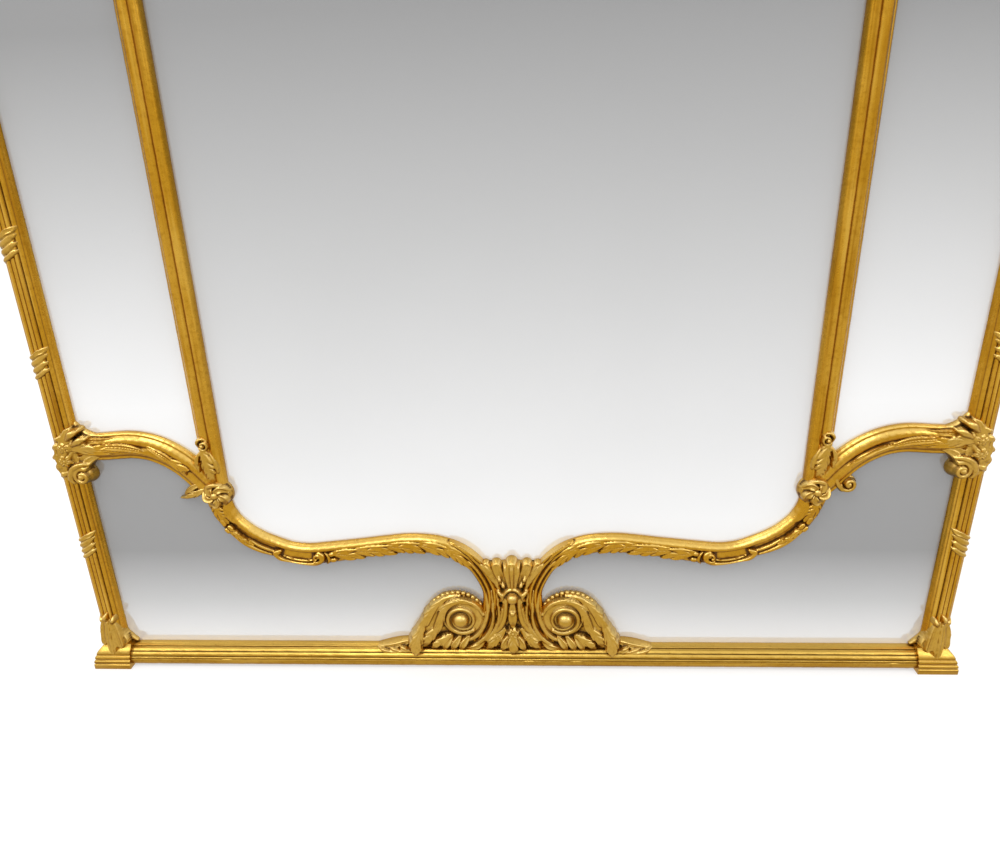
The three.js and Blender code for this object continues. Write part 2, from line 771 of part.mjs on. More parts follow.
const boardSplit = 238;
const boardTop = (limit) => topInner.filter(([x]) => x > limit);
const topAt = (x) => {
  const after = topInner.findIndex(([px]) => px <= x);
  const [x0, z0] = topInner[after - 1];
  const [x1, z1] = topInner[after];
  return z0 + ((z1 - z0) * (x - x0)) / (x1 - x0);
};
const sideBoardOutline = [
  [boardSplit + fitGap, plateBottom],
  [plinthInner - fitGap, plateBottom],
  [plinthInner - fitGap, plinthHeight + fitGap],
  [rebateX, plinthHeight + fitGap],
  ...boardTop(boardSplit + 2),
  [boardSplit + fitGap, topAt(boardSplit + fitGap)],
];
const midTop = topInner.filter(([x]) => x < boardSplit - 2);
const midRight = [[boardSplit, topAt(boardSplit)], ...midTop];
const centreBoardOutline = [
  [-boardSplit, plateBottom],
  [boardSplit, plateBottom],
  ...midRight,
  ...midRight.slice(0, -1).reverse().map(([x, z]) => [-x, z]),
];
const sideBoard = panel(sideBoardOutline, boardBack, boardFront);
const centreBoard = panel(centreBoardOutline, boardBack, boardFront);

const battenEnd = rebateX;
const battenBelow = 40;
const battenAbove = 80;
const lowerBattenTop = 130;
const strapLow = hangerZ + boreRadius + knuckleSheet;
const screwPlaces = screwRises.map((rise) => strapLow + rise);

function rod(x, z, radius, y0, y1, segments = 8) {
  return turned([[0, y0], [radius, y0], [radius, y1], [0, y1]], x, z, segments);
}

const upperBatten = cut(
  toSolid(box(-battenEnd, battenEnd, battenFront, battenBack, hangerZ - battenBelow, hangerZ + battenAbove)),
  ...screwPlaces.flatMap((z) => [-hangerX, hangerX].map((x) => (
    rod(x, z, screwRadius + fitGap, battenBack - screwLength, battenBack + 1)
  ))),
);
const lowerBatten = toSolid(
  box(-battenEnd, battenEnd, battenFront, battenBack, plinthHeight + fitGap, lowerBattenTop),
);

const tubeShape = new THREE.Shape();
tubeShape.absarc(0, 0, boreRadius + knuckleSheet, 0, Math.PI * 2, false);
const tubeBore = new THREE.Path();
tubeBore.absarc(0, 0, boreRadius, 0, Math.PI * 2, true);
tubeShape.holes.push(tubeBore);
const tubeGeometry = new THREE.ExtrudeGeometry(tubeShape, {
  depth: strapWidth,
  bevelEnabled: false,
  curveSegments: 6,
});
tubeGeometry.rotateY(Math.PI / 2);
tubeGeometry.translate(hangerX - strapWidth / 2, ringAxisY, hangerZ);
const boreRod = new THREE.CylinderGeometry(boreRadius, boreRadius, strapWidth + 4, 12);
boreRod.rotateZ(Math.PI / 2);
boreRod.translate(hangerX, ringAxisY, hangerZ);
const strap = cut(
  join(
    toSolid(tubeGeometry),
    toSolid(box(
      hangerX - strapWidth / 2,
      hangerX + strapWidth / 2,
      strapFront,
      strapFront + strapThickness,
      hangerZ - 1,
      hangerZ + strapHeight,
    )),
  ),
  toSolid(boreRod),
  ...screwPlaces.map((z) => rod(hangerX, z, screwRadius + fitGap, strapFront - 2, strapFront + 4)),
);

function screw(z) {
  const seat = strapFront + strapThickness + 0.05;
  return turned([
    [0, battenBack - screwLength + 1], [screwRadius * 0.6, battenBack - screwLength + 2],
    [screwRadius, battenBack - screwLength + 5], [screwRadius, seat], [screwHeadRadius, seat],
    [screwHeadRadius, seat + 0.5], [screwHeadRadius * 0.6, seat + screwHeadHeight],
    [0, seat + screwHeadHeight],
  ], hangerX, z, 8);
}

// D-ring: straight bar in the knuckle, loop hanging below it
function ringPath() {
  const corner = 3;
  const points = [[-ringHalf + corner, 0], [0, 0], [ringHalf - corner, 0], [ringHalf - 0.9, -0.9]];
  points.push([ringHalf, -corner], [ringHalf, -ringDrop + ringHalf]);
  for (let i = 1; i < 8; i += 1) {
    const angle = (-Math.PI * i) / 8;
    points.push([ringHalf * Math.cos(angle), -ringDrop + ringHalf + ringHalf * Math.sin(angle)]);
  }
  points.push([-ringHalf, -ringDrop + ringHalf], [-ringHalf, -corner], [-ringHalf + 0.9, -0.9]);
  return points;
}

function wireLoop(path, radius, sides) {
  const rings = path.map(([x, z], i) => {
    const before = path[(i + path.length - 1) % path.length];
    const after = path[(i + 1) % path.length];
    const first = new THREE.Vector2(x - before[0], z - before[1]).normalize();
    const second = new THREE.Vector2(after[0] - x, after[1] - z).normalize();
    const along = first.clone().add(second).normalize();
    const out = new THREE.Vector2(along.y, -along.x);
    const spread = 1 / Math.max(0.6, along.dot(first));
    const ring = [];
    for (let j = 0; j < sides; j += 1) {
      const angle = (2 * Math.PI * j) / sides;
      const reach = radius * Math.cos(angle) * spread;
      ring.push(new THREE.Vector3(
        hangerX + x + out.x * reach,
        ringAxisY + radius * Math.sin(angle),
        hangerZ + z + out.y * reach,
      ));
    }
    return ring;
  });
  return loft(rings, [], true);
}

const ring = toSolid(wireLoop(ringPath(), wireRadius, 6));

// ---------- assembly ----------

const materials = {
  gilt: { color: 0xb88a30, metalness: 0.9, roughness: 0.35 },
  mirror: { color: 0xe2e6e8, metalness: 1, roughness: 0.05 },
  wood: { color: 0x8a6a45, metalness: 0, roughness: 0.8 },
  steel: { color: 0x9a9a96, metalness: 0.9, roughness: 0.4 },
  brass: { color: 0xb59a52, metalness: 0.9, roughness: 0.35 },
};
const deepFront = frameFront - cutterReach;
const deepBack = frameBack + cutterReach;
const middleCutter = toSolid(box(-5, fitGap / 2, deepFront, deepBack, stileTop, crownTop + stileWidth));
const shoulderCutter = toSolid(box(
  stileSight - cutterReach,
  stileOuter + cutterReach,
  deepFront,
  deepBack,
  stileTop - stileWidth,
  stileTop + fitGap,
));
const part = new THREE.Group();
part.name = 'overmantel_mirror';

function addNode(name, geometry, slot) {
  const mesh = new THREE.Mesh(geometry, new THREE.MeshStandardMaterial(materials[slot]));
  mesh.name = name;
  part.add(mesh);
}

function addPair(name, solid, slot) {
  const geometry = toGeometry(solid);
  addNode(`${name}_right`, geometry, slot);
  addNode(`${name}_left`, mirrored(geometry), slot);
}

addNode('base_rail', beam(baseSection, fitGap - plinthInner, plinthInner - fitGap), 'gilt');
addPair('plinth_block', toSolid(plinth(0)), 'gilt');
addPair('outer_stile', stileBody, 'gilt');
addPair('inner_stile', innerBody, 'gilt');
addNode('arch_rail_right', toGeometry(archRight), 'gilt');
addNode('arch_rail_left', mirrored(toGeometry(archLeft)), 'gilt');
addPair('scroll_rail', scrollBody, 'gilt');
addNode('centre_cartouche', toGeometry(centreCartouche), 'gilt');
addPair('base_volute', volute, 'gilt');
addPair('base_spray', spray, 'gilt');
addPair('foot_leaf', footLeaf, 'gilt');
addPair('junction_scroll', junction, 'gilt');
addPair('stile_knuckle', knuckle, 'gilt');
addPair('stile_leaf', stileLeaf, 'gilt');
addPair('top_rail', cut(topRailSolid, middleCutter, shoulderCutter), 'gilt');
addPair('upper_arch_rail', upperArch, 'gilt');
addPair('upper_scroll_rail', upperScroll, 'gilt');
addNode('upper_cartouche', toGeometry(upperCartouche), 'gilt');
addNode('crest_shell', toGeometry(crestShell), 'gilt');
addPair('crest_spray', crestSpray, 'gilt');
addPair('upper_junction_scroll', upperJunction, 'gilt');
addPair('upper_knuckle', upperKnuckle, 'gilt');
addNode('centre_plate', toGeometry(centrePlate), 'mirror');
addPair('side_plate', sidePlate, 'mirror');
addPair('lower_plate', lowerPlate, 'mirror');
addPair('upper_plate', upperPlate, 'mirror');
addNode('centre_backboard', toGeometry(centreBoard), 'wood');
addPair('side_backboard', sideBoard, 'wood');
addNode('lower_batten', toGeometry(lowerBatten), 'wood');
addNode('upper_batten', toGeometry(upperBatten), 'wood');
addPair('hanger_strap', strap, 'brass');
addPair('hanger_ring', ring, 'steel');
screwPlaces.forEach((z, i) => addPair(`hanger_screw_${i + 1}`, screw(z), 'steel'));

export default part;
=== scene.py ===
import math

import bpy
import numpy as np
from mathutils import Matrix, Vector


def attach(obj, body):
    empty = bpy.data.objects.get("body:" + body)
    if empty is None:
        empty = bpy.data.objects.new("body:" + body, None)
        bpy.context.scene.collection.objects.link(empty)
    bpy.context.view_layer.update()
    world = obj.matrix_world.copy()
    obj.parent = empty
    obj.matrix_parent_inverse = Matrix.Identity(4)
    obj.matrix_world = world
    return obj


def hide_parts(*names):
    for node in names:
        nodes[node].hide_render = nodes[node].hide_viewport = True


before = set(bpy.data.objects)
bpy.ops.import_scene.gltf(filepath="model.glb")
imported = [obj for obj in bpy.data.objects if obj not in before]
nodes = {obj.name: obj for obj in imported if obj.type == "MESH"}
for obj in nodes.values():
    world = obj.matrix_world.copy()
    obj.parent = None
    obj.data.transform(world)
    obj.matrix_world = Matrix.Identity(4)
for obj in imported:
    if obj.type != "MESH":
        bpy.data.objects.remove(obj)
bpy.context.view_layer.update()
scene = bpy.context.scene
print("frame loaded,", len(nodes), "nodes")

mm = 0.001
midHeight = 937.0  # the upper rails are the lower ones turned over about this height
sides = ((False, "right"), (True, "left"))  # whether a piece is mirrored, and where it then stands


class Wire:
    # an output socket that can be used in sums
    def __init__(self, socket):
        self.socket = socket

    def joined(self, operation, first, second):
        tree = self.socket.id_data
        made = tree.nodes.new("ShaderNodeMath")
        made.operation = operation
        for place, value in zip(made.inputs, (first, second)):
            if isinstance(value, Wire):
                tree.links.new(value.socket, place)
            else:
                place.default_value = value
        return Wire(made.outputs[0])

    def __add__(self, other):
        return self.joined("ADD", self, other)

    def __radd__(self, other):
        return self.joined("ADD", other, self)

    def __sub__(self, other):
        return self.joined("SUBTRACT", self, other)

    def __rsub__(self, other):
        return self.joined("SUBTRACT", other, self)

    def __mul__(self, other):
        return self.joined("MULTIPLY", self, other)

    def __rmul__(self, other):
        return self.joined("MULTIPLY", other, self)

    def __truediv__(self, other):
        return self.joined("DIVIDE", self, other)

    def __pow__(self, other):
        return self.joined("POWER", self, other)

    def over(self, limit):
        return self.joined("GREATER_THAN", self, limit)

    def under(self, limit):
        return self.joined("LESS_THAN", self, limit)


class Bench:
    # one node tree and the way nodes are put in it
    def __init__(self, tree):
        self.tree = tree

    def node(self, kind, settings=None, inputs=None, output=0):
        made = self.tree.nodes.new(kind)
        for key, value in (settings or {}).items():
            if key == "stops":
                ramp = made.color_ramp
                while len(ramp.elements) < len(value):
                    ramp.elements.new(0.5)
                for stop, (place, colour) in zip(ramp.elements, value):
                    stop.position = place
                    stop.color = colour
            else:
                setattr(made, key, value)
        for key, value in (inputs or {}).items():
            place = made.inputs[key]
            if isinstance(value, Wire):
                self.tree.links.new(value.socket, place)
            else:
                place.default_value = value
        self.last = made
        return Wire(made.outputs[output]) if made.outputs else None

    def blend(self, amount, first, second):
        return self.node("ShaderNodeMix", {"data_type": "RGBA"}, {0: amount, 6: first, 7: second}, 2)

    def stretch(self, value, low, high, newLow=0.0, newHigh=1.0):
        return self.node("ShaderNodeMapRange", {"interpolation_type": "SMOOTHSTEP"},
                         {0: value, 1: low, 2: high, 3: newLow, 4: newHigh})

    def noise(self, spot, scale, detail, **more):
        return self.node("ShaderNodeTexNoise",
                         inputs={"Vector": spot, "Scale": scale, "Detail": detail, **more})

    def bump(self, strength, distance, height):
        return self.node("ShaderNodeBump",
                         inputs={"Strength": strength, "Distance": distance, "Height": height})

    def apart(self, vector):
        # the three numbers of a vector
        self.node("ShaderNodeSeparateXYZ", inputs={0: vector})
        return [Wire(socket) for socket in self.last.outputs]

    def together(self, x, y, z):
        return self.node("ShaderNodeCombineXYZ", inputs={0: x, 1: y, 2: z})


def finish(name, build):
    # a new material whose Principled sockets are filled by the given function
    material = bpy.data.materials.new(name)
    material.use_nodes = True
    tree = material.node_tree
    tree.nodes.clear()
    bench = Bench(tree)
    bench.node("ShaderNodeBsdfPrincipled")
    shader = bench.last
    result = tree.nodes.new("ShaderNodeOutputMaterial")
    tree.links.new(shader.outputs[0], result.inputs[0])
    for key, value in build(bench).items():
        if isinstance(value, Wire):
            tree.links.new(value.socket, shader.inputs[key])
        else:
            shader.inputs[key].default_value = value
    return material


def srgb(red, green, blue):
    # a colour written as 0 to 255, as the shader wants it
    def one(value):
        value /= 255
        return value / 12.92 if value <= 0.04045 else ((value + 0.055) / 1.055) ** 2.4
    return (one(red), one(green), one(blue), 1.0)


# in each set, lit is a painted highlight for faces turned up, shade is painted shade for faces turned down,
# and the darkest colour is both glaze and painted shade in hollows
gold = {
    # burnished rails
    "rails": {
        "leaf": srgb(190, 138, 30), "pale": srgb(218, 172, 68), "deep": srgb(156, 104, 10),
        "glazeAndShade": srgb(84, 48, 3), "shade": srgb(134, 92, 8), "lit": srgb(242, 206, 114),
        "roughness": 0.30, "from": 0.22, "flat": 0.6,
    },
    # burnished work low on the frame, darker
    "level": {
        "leaf": srgb(172, 126, 34), "pale": srgb(200, 156, 62), "deep": srgb(138, 92, 10),
        "glazeAndShade": srgb(72, 42, 3), "shade": srgb(116, 78, 8), "lit": srgb(228, 190, 94),
        "roughness": 0.32, "from": 0.4, "flat": 0.2,
    },
    # matt carved work
    "carved": {
        "leaf": srgb(192, 148, 54), "pale": srgb(220, 180, 94), "deep": srgb(156, 112, 26),
        "glazeAndShade": srgb(88, 54, 6), "shade": srgb(128, 92, 18), "lit": srgb(246, 214, 132),
        "roughness": 0.36, "from": 0.15, "flat": 0.6,
    },
    "rawBack": srgb(150, 112, 62),
}


def goldLeaf(tones, grain=None):
    # leaf with a painted highlight where it faces up and painted shade where it faces down, darkened in its
    # hollows by glaze and painted shade, and streaked along its grain
    def build(bench):
        spot = bench.node("ShaderNodeTexCoord", output=3)
        hollow = bench.node("ShaderNodeAttribute", {"attribute_name": "hollow"}, output=2)
        _, back, up = bench.apart(bench.node("ShaderNodeNewGeometry", output=1))
        broad = bench.noise(spot, 14.0, 3.0)
        fine = bench.noise(spot, 150.0, 4.0, Roughness=0.65)
        specks = bench.noise(spot, 480.0, 2.0)
        ripple = bench.noise(spot, 55.0, 1.5)
        glazeAndShadeMask = bench.stretch(hollow + (fine - 0.5) * 0.4, 0.14, 0.95)
        tone = bench.blend(bench.stretch(broad, 0.35, 0.7, 0.0, 0.35), tones["leaf"], tones["pale"])
        tone = bench.blend(bench.stretch(fine, 0.45, 0.75, 0.0, 0.55), tone, tones["deep"])
        if grain:
            streaks = bench.noise(bench.node("ShaderNodeMapping", inputs={0: spot, "Scale": grain}), 1.0, 3.0)
            tone = bench.blend(bench.stretch(streaks, 0.5, 0.72, 0.0, 0.75), tone, tones["deep"])
            tone = bench.blend(bench.stretch(streaks, 0.48, 0.28, 0.0, 0.8), tone, tones["pale"])
        # painted highlight: faces turned up are made paler towards the lit colour, less so where they lie
        # flat
        paintedHighlight = bench.stretch(up + (fine - 0.5) * 0.5, tones["from"], 0.75, 0.0, 0.8)
        paintedHighlight = paintedHighlight - bench.stretch(up, 0.76, 0.98, 0.0, tones["flat"])
        tone = bench.blend(paintedHighlight, tone, tones["lit"])
        # painted shade: faces turned down are darkened towards the shade colour
        tone = bench.blend(bench.stretch(up, -0.05, -0.8, 0.0, 0.8), tone, tones["shade"])
        # hollows made darker: partly the glaze that real gilding gathers there, partly painted shade
        tone = bench.blend(bench.stretch(hollow, 0.05, 0.45, 0.0, 0.55), tone, tones["deep"])
        tone = bench.blend(bench.stretch(glazeAndShadeMask, 0.25, 1.0, 0.0, 0.92), tone, tones["glazeAndShade"])
        tone = bench.blend(bench.stretch(specks, 0.62, 0.72, 0.0, 0.35), tone, tones["deep"])
        bare = bench.stretch(back, 0.86, 0.97)  # ungilded wood faces the wall
        return {"Base Color": bench.blend(bare, tone, gold["rawBack"]),
                "Roughness": tones["roughness"] + (fine - 0.5) * 0.25 + glazeAndShadeMask * 0.25,
                "Metallic": (1.0 - bare * 0.95) * (1.0 - glazeAndShadeMask * 0.3),
                "Normal": bench.bump(0.55, 0.0012, ripple * 0.7 + fine * 0.4 + specks * 0.06),
                "Coat Weight": 0.08, "Coat Roughness": 0.25}
    return build


# share of clear mirror; the rest is a matt haze that shows the painted reflection gradient
plateClarity = 0.34


def silveringPaintedReflection(lowZ, highZ, tones):
    # silvered plate with a painted reflection: a grey gradient that deepens with height, with faint old
    # spotting
    def build(bench):
        spot = bench.node("ShaderNodeTexCoord", output=3)
        height = bench.apart(spot)[2]
        cloud = bench.noise(spot, 3.0, 2.0)
        spots = bench.noise(spot, 90.0, 3.0)
        # painted reflection: the plate's grey gradient, set by height
        share = bench.node("ShaderNodeMapRange",
                           inputs={0: height, 1: lowZ * mm, 2: highZ * mm, 3: 0.0, 4: 1.0})
        ramp = bench.node("ShaderNodeValToRGB", {"stops": tones}, {0: share})
        tone = bench.blend(bench.stretch(cloud, 0.35, 0.7, 0.0, 0.035), ramp, srgb(150, 150, 148))
        tone = bench.blend(bench.stretch(spots, 0.74, 0.80, 0.0, 0.12), tone, srgb(120, 116, 108))
        rough = 0.05 + bench.stretch(cloud, 0.4, 0.8) * 0.04
        return {"Base Color": tone, "Roughness": rough, "Metallic": plateClarity, "Specular IOR Level": 0.0}
    return build


def boardWood(grain):
    def build(bench):
        spot = bench.node("ShaderNodeTexCoord", output=3)
        along = bench.node("ShaderNodeMapping", inputs={0: spot, "Scale": grain})
        rings = bench.noise(along, 1.0, 5.0, Distortion=0.8)
        pores = bench.noise(along, 9.0, 2.0)
        tone = bench.node("ShaderNodeValToRGB", {"stops": [
            (0.25, srgb(92, 62, 36)), (0.5, srgb(134, 98, 60)), (0.75, srgb(160, 122, 80))]}, {0: rings})
        tone = bench.blend(bench.stretch(pores, 0.6, 0.75, 0.0, 0.4), tone, srgb(70, 46, 26))
        return {"Base Color": tone, "Roughness": 0.62 + pores * 0.2,
                "Normal": bench.bump(0.4, 0.0006, rings + pores * 0.4)}
    return build


def wornMetal(colour, dark, shine):
    def build(bench):
        spot = bench.node("ShaderNodeTexCoord", output=3)
        stain = bench.noise(spot, 140.0, 4.0)
        scratch = bench.noise(spot, 700.0, 2.0)
        tone = bench.blend(bench.stretch(stain, 0.42, 0.7), colour, dark)
        return {"Base Color": tone, "Roughness": shine + stain * 0.25, "Metallic": 1.0,
                "Normal": bench.bump(0.3, 0.0002, scratch)}
    return build


black, white = (0.0, 0.0, 0.0, 1.0), (1.0, 1.0, 1.0, 1.0)


def paleFloor(bench):
    # white to the eye and in the mirror, and still showing the shadow
    spot = bench.node("ShaderNodeTexCoord", output=3)
    pale = bench.blend(bench.noise(spot, 3.0, 2.0), srgb(236, 236, 236), srgb(240, 240, 240))
    seen = bench.node("ShaderNodeLightPath", output=0)
    mirrored = Wire(bench.last.outputs[3])
    tone = bench.blend(mirrored, bench.blend(seen, pale, srgb(188, 188, 188)), black)
    glow = bench.blend(mirrored, bench.blend(seen, black, (0.55, 0.55, 0.55, 1.0)), white)
    return {"Base Color": tone, "Roughness": 0.9, "Specular IOR Level": 0.0, "Emission Color": glow,
            "Emission Strength": 1.0}


finishes = {
    "gilt": finish("burnished_leaf", goldLeaf(gold["rails"])),
    "upright": finish("burnished_leaf_upright", goldLeaf(gold["rails"], (110.0, 60.0, 3.5))),
    "level": finish("burnished_leaf_level", goldLeaf(gold["level"], (4.0, 90.0, 110.0))),
    "carved": finish("matt_leaf", goldLeaf(gold["carved"])),
    "wood": finish("board_wood", boardWood((38.0, 20.0, 1.6))),
    "batten": finish("batten_wood", boardWood((1.6, 20.0, 38.0))),
    "brass": finish("aged_brass", wornMetal(srgb(186, 152, 84), srgb(112, 84, 40), 0.28)),
    "steel": finish("old_steel", wornMetal(srgb(150, 148, 144), srgb(92, 84, 76), 0.34)),
    "floor": finish("pale_floor", paleFloor),
}
print("finishes made")


def through(points, steps=8):
    # smooth line through points of any size; carving is done in millimetres, x right, y back, z up
    p = np.asarray(points, float)
    p = np.vstack([2 * p[0] - p[1], p, 2 * p[-1] - p[-2]])
    t = np.linspace(0, 1, steps, endpoint=False)[:, None]
    runs = []
    for a, b, c, d in zip(p, p[1:], p[2:], p[3:]):
        runs.append(0.5 * (2 * b + (c - a) * t + (2 * a - 5 * b + 4 * c - d) * t ** 2
                           + (3 * b - a - 3 * c + d) * t ** 3))
    return np.vstack(runs + [p[-2:-1]])


def spaced(line, count, dims=3):
    # the line again with stations at even distances
    gone = np.r_[0, np.cumsum(np.linalg.norm(np.diff(line[:, :dims], axis=0), axis=1))]
    at = np.linspace(0, gone[-1], count)
    return np.stack([np.interp(at, gone, line[:, i]) for i in range(line.shape[1])], 1)


def units(rows):
    return rows / np.maximum(np.linalg.norm(rows, axis=1), 1e-9)[:, None]


def shapedMesh(name, points, hollow, faces, mirror=False, over=False):
    # a mesh from points in millimetres, mirrored to the left side or turned over to the top
    points = points * mm
    if mirror:
        points = points * (-1, 1, 1)
    if over:
        points = points * (1, 1, -1) + (0, 0, 2 * midHeight * mm)
    if mirror != over:
        faces = [face[::-1] for face in faces]
    mesh = bpy.data.meshes.new(name)
    mesh.from_pydata(points.tolist(), [], faces)
    mesh.attributes.new("hollow", "FLOAT", "POINT").data.foreach_set("value", hollow)
    return mesh


def settle(name, mesh, replaced=(), slotName="gilt", body="frame", cuts=40):
    # a finished mesh becomes a piece that rides on its body
    mesh.shade_smooth()
    mesh.set_sharp_from_angle(angle=math.radians(cuts))
    piece = bpy.data.objects.new(name, mesh)
    scene.collection.objects.link(piece)
    if not mesh.materials:
        mesh.materials.append(finishes[slotName])
    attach(piece, body)
    if replaced:
        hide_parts(*replaced)


class Worked:
    # what every worked form does once shape() gives its points, hollows and faces
    slotName, cuts = "gilt", 40

    def piece(self, name, node=None, body="frame", mirror=False, over=False):
        mesh = shapedMesh(name, *self.shape(), mirror, over)
        settle(name, mesh, [node] if node else [], self.slotName, body, self.cuts)

    def pair(self, name, node, over=False):
        for mirror, side in sides:
            self.piece(f"{name}_{side}", f"{node}_{side}", mirror=mirror, over=over)


class Carving(Worked):
    # closed shells gathered into one piece, each point with its hollowness
    def __init__(self, slotName="gilt"):
        self.slotName = slotName
        self.points, self.hollow, self.faces, self.size = [], [], [], 0

    def shape(self):
        return np.vstack(self.points), np.concatenate(self.hollow), self.faces

    def add(self, points, hollow, faces):
        volume = 0.0
        for face in faces:
            corners = points[list(face)]
            volume += np.einsum("ij,ij->", np.cross(corners[1:-1], corners[2:]),
                                np.repeat(corners[:1], len(face) - 2, 0))
        step = 1 if volume > 0 else -1
        self.faces += [tuple(i + self.size for i in face[::step]) for face in faces]
        self.points.append(points)
        self.hollow.append(np.broadcast_to(hollow, (len(points),)))
        self.size += len(points)

    def skin(self, rings, hollow, looped=False):
        # rings of equal size, closed at the ends, or joined in a loop
        n, m = rings.shape[:2]
        index = np.arange(n * m).reshape(n, m)
        first = index if looped else index[:-1]
        second = np.roll(index, -1, 0) if looped else index[1:]
        quads = np.stack([first, np.roll(first, -1, 1), np.roll(second, -1, 1), second], -1)
        faces = [tuple(q) for q in quads.reshape(-1, 4).tolist()]
        points = rings.reshape(-1, 3)
        shade = np.broadcast_to(hollow, (n, m)).reshape(-1)
        if not looped:
            points = np.vstack([points, rings[0].mean(0), rings[-1].mean(0)])
            shade = np.r_[shade, shade[:m].mean(), shade[-m:].mean()]
            low, high = n * m, n * m + 1
            faces += [(low, (j + 1) % m, j) for j in range(m)]
            top = (n - 1) * m
            faces += [(high, top + j, top + (j + 1) % m) for j in range(m)]
        self.add(points, shade, faces)

    def moulding(self, line, profile, width=None, carved=()):
        # profile (u, y) carried along a line of (x, z) stations, with strokes carved on its front
        at = np.asarray(line, float)
        along = units(np.gradient(at, axis=0))
        side = np.stack([-along[:, 1], along[:, 0]], 1)
        share = np.linspace(0, 1, len(at))
        wide = np.ones(len(at)) if width is None else np.array([width(t) for t in share])
        shapes = np.stack([np.asarray(profile(t)) for t in share])
        u = shapes[:, :, 0] * wide[:, None]
        rings = np.stack([at[:, :1] + side[:, :1] * u, shapes[:, :, 1], at[:, 1:] + side[:, 1:] * u], -1)
        rings[:, :, 1] += np.where(rings[:, :, 1] < -2, hand(rings), 0)
        shade = np.stack([grooves(s) for s in shapes])
        if carved:
            before = -rings[:, :, 1]
            raised, inside = before.copy(), np.full(before.shape, -9.0)
            for stroke in carved:
                painted(rings[:, :, 0], rings[:, :, 2], raised, inside, *stroke)
            front = shapes[:, :, 1] < -4.5
            raised = np.where(front, raised, before)
            rings[:, :, 1] = -raised
            # hollowness where the carving lies below its surroundings; the leaf shows it as glaze and painted
            # shade
            sunk = (blurred(raised, 4) - raised) * 0.35 + (blurred(raised, 2) - raised) * 0.4
            shade = np.clip(np.where(inside > 0, sunk, np.maximum(shade, sunk)), 0, 1) * front
        self.skin(rings, shade)


def hand(points):
    # slight unevenness of cut and gessoed wood: a slow wave and a faint quick one
    x, z = points[..., 0], points[..., 2]
    slow = np.sin(x * 0.19 + z * 0.05) * np.sin(z * 0.17 - x * 0.04 + 1.3)
    return 0.22 * slow + 0.1 * np.sin(x * 0.47 + z * 0.41)


def grooves(profile):
    # how deep each point of a profile lies between higher neighbours
    p = np.asarray(profile)
    gap = np.hypot(p[:, None, 0] - p[None, :, 0], 0.6)
    rise = (p[:, None, 1] - p[None, :, 1]) / gap
    rise = np.where(gap < 7, rise, 0)
    index = np.arange(len(p))
    left = np.where(index[None, :] < index[:, None], rise, 0).max(1)
    right = np.where(index[None, :] > index[:, None], rise, 0).max(1)
    return np.clip(np.minimum(left, right) * 0.75, 0, 1)


def bulged(corners, steps=6):
    # (u, y, swell): each stretch swells forward by the last number, or sinks if it is negative
    out = [corners[0][:2]]
    for (u0, y0, *_), (u1, y1, swell) in zip(corners, corners[1:]):
        count = steps if swell else 1
        for k in range(1, count + 1):
            t = k / count
            out.append((u0 + (u1 - u0) * t, y0 + (y1 - y0) * t - swell * 4 * t * (1 - t)))
    return np.asarray(out, float)


def spiral(x, z, start, stop, turnFrom, turnTo, yFrom, yTo, wFrom, wTo, count=14):
    # spine points along a spiral, angles in degrees
    t = np.linspace(0, 1, count)
    angle = np.radians(turnFrom + (turnTo - turnFrom) * t)
    radius = start + (stop - start) * t
    return [(x + r * math.cos(a), z + r * math.sin(a), yFrom + (yTo - yFrom) * s, wFrom + (wTo - wFrom) * s)
            for a, r, s in zip(angle, radius, t)]


sections = {
    # a stroke's height from its middle (0) to its edge (1)
    "round": ((0, 1), (0.4, 0.92), (0.7, 0.7), (0.9, 0.38), (1, 0.1)),
    "petal": ((0, 0.5), (0.3, 0.62), (0.62, 1), (0.85, 0.75), (1, 0.1)),
    "leaf": ((0, 0.85), (0.07, 0.62), (0.2, 0.55), (0.45, 0.8), (0.7, 1), (0.9, 0.65), (1, 0.1)),
    "flat": ((0, 1), (0.8, 0.95), (1, 0.6)),
}


acanthus = {
    "narrow": 0.78, "lobe": 0.25,  # least width between lobes, and what a lobe adds
    "edge": 0.58, "crown": 0.42,  # height at the edge, and what the middle adds
    "veins": 0.46, "midrib": 0.17, "lip": 0.12,
}


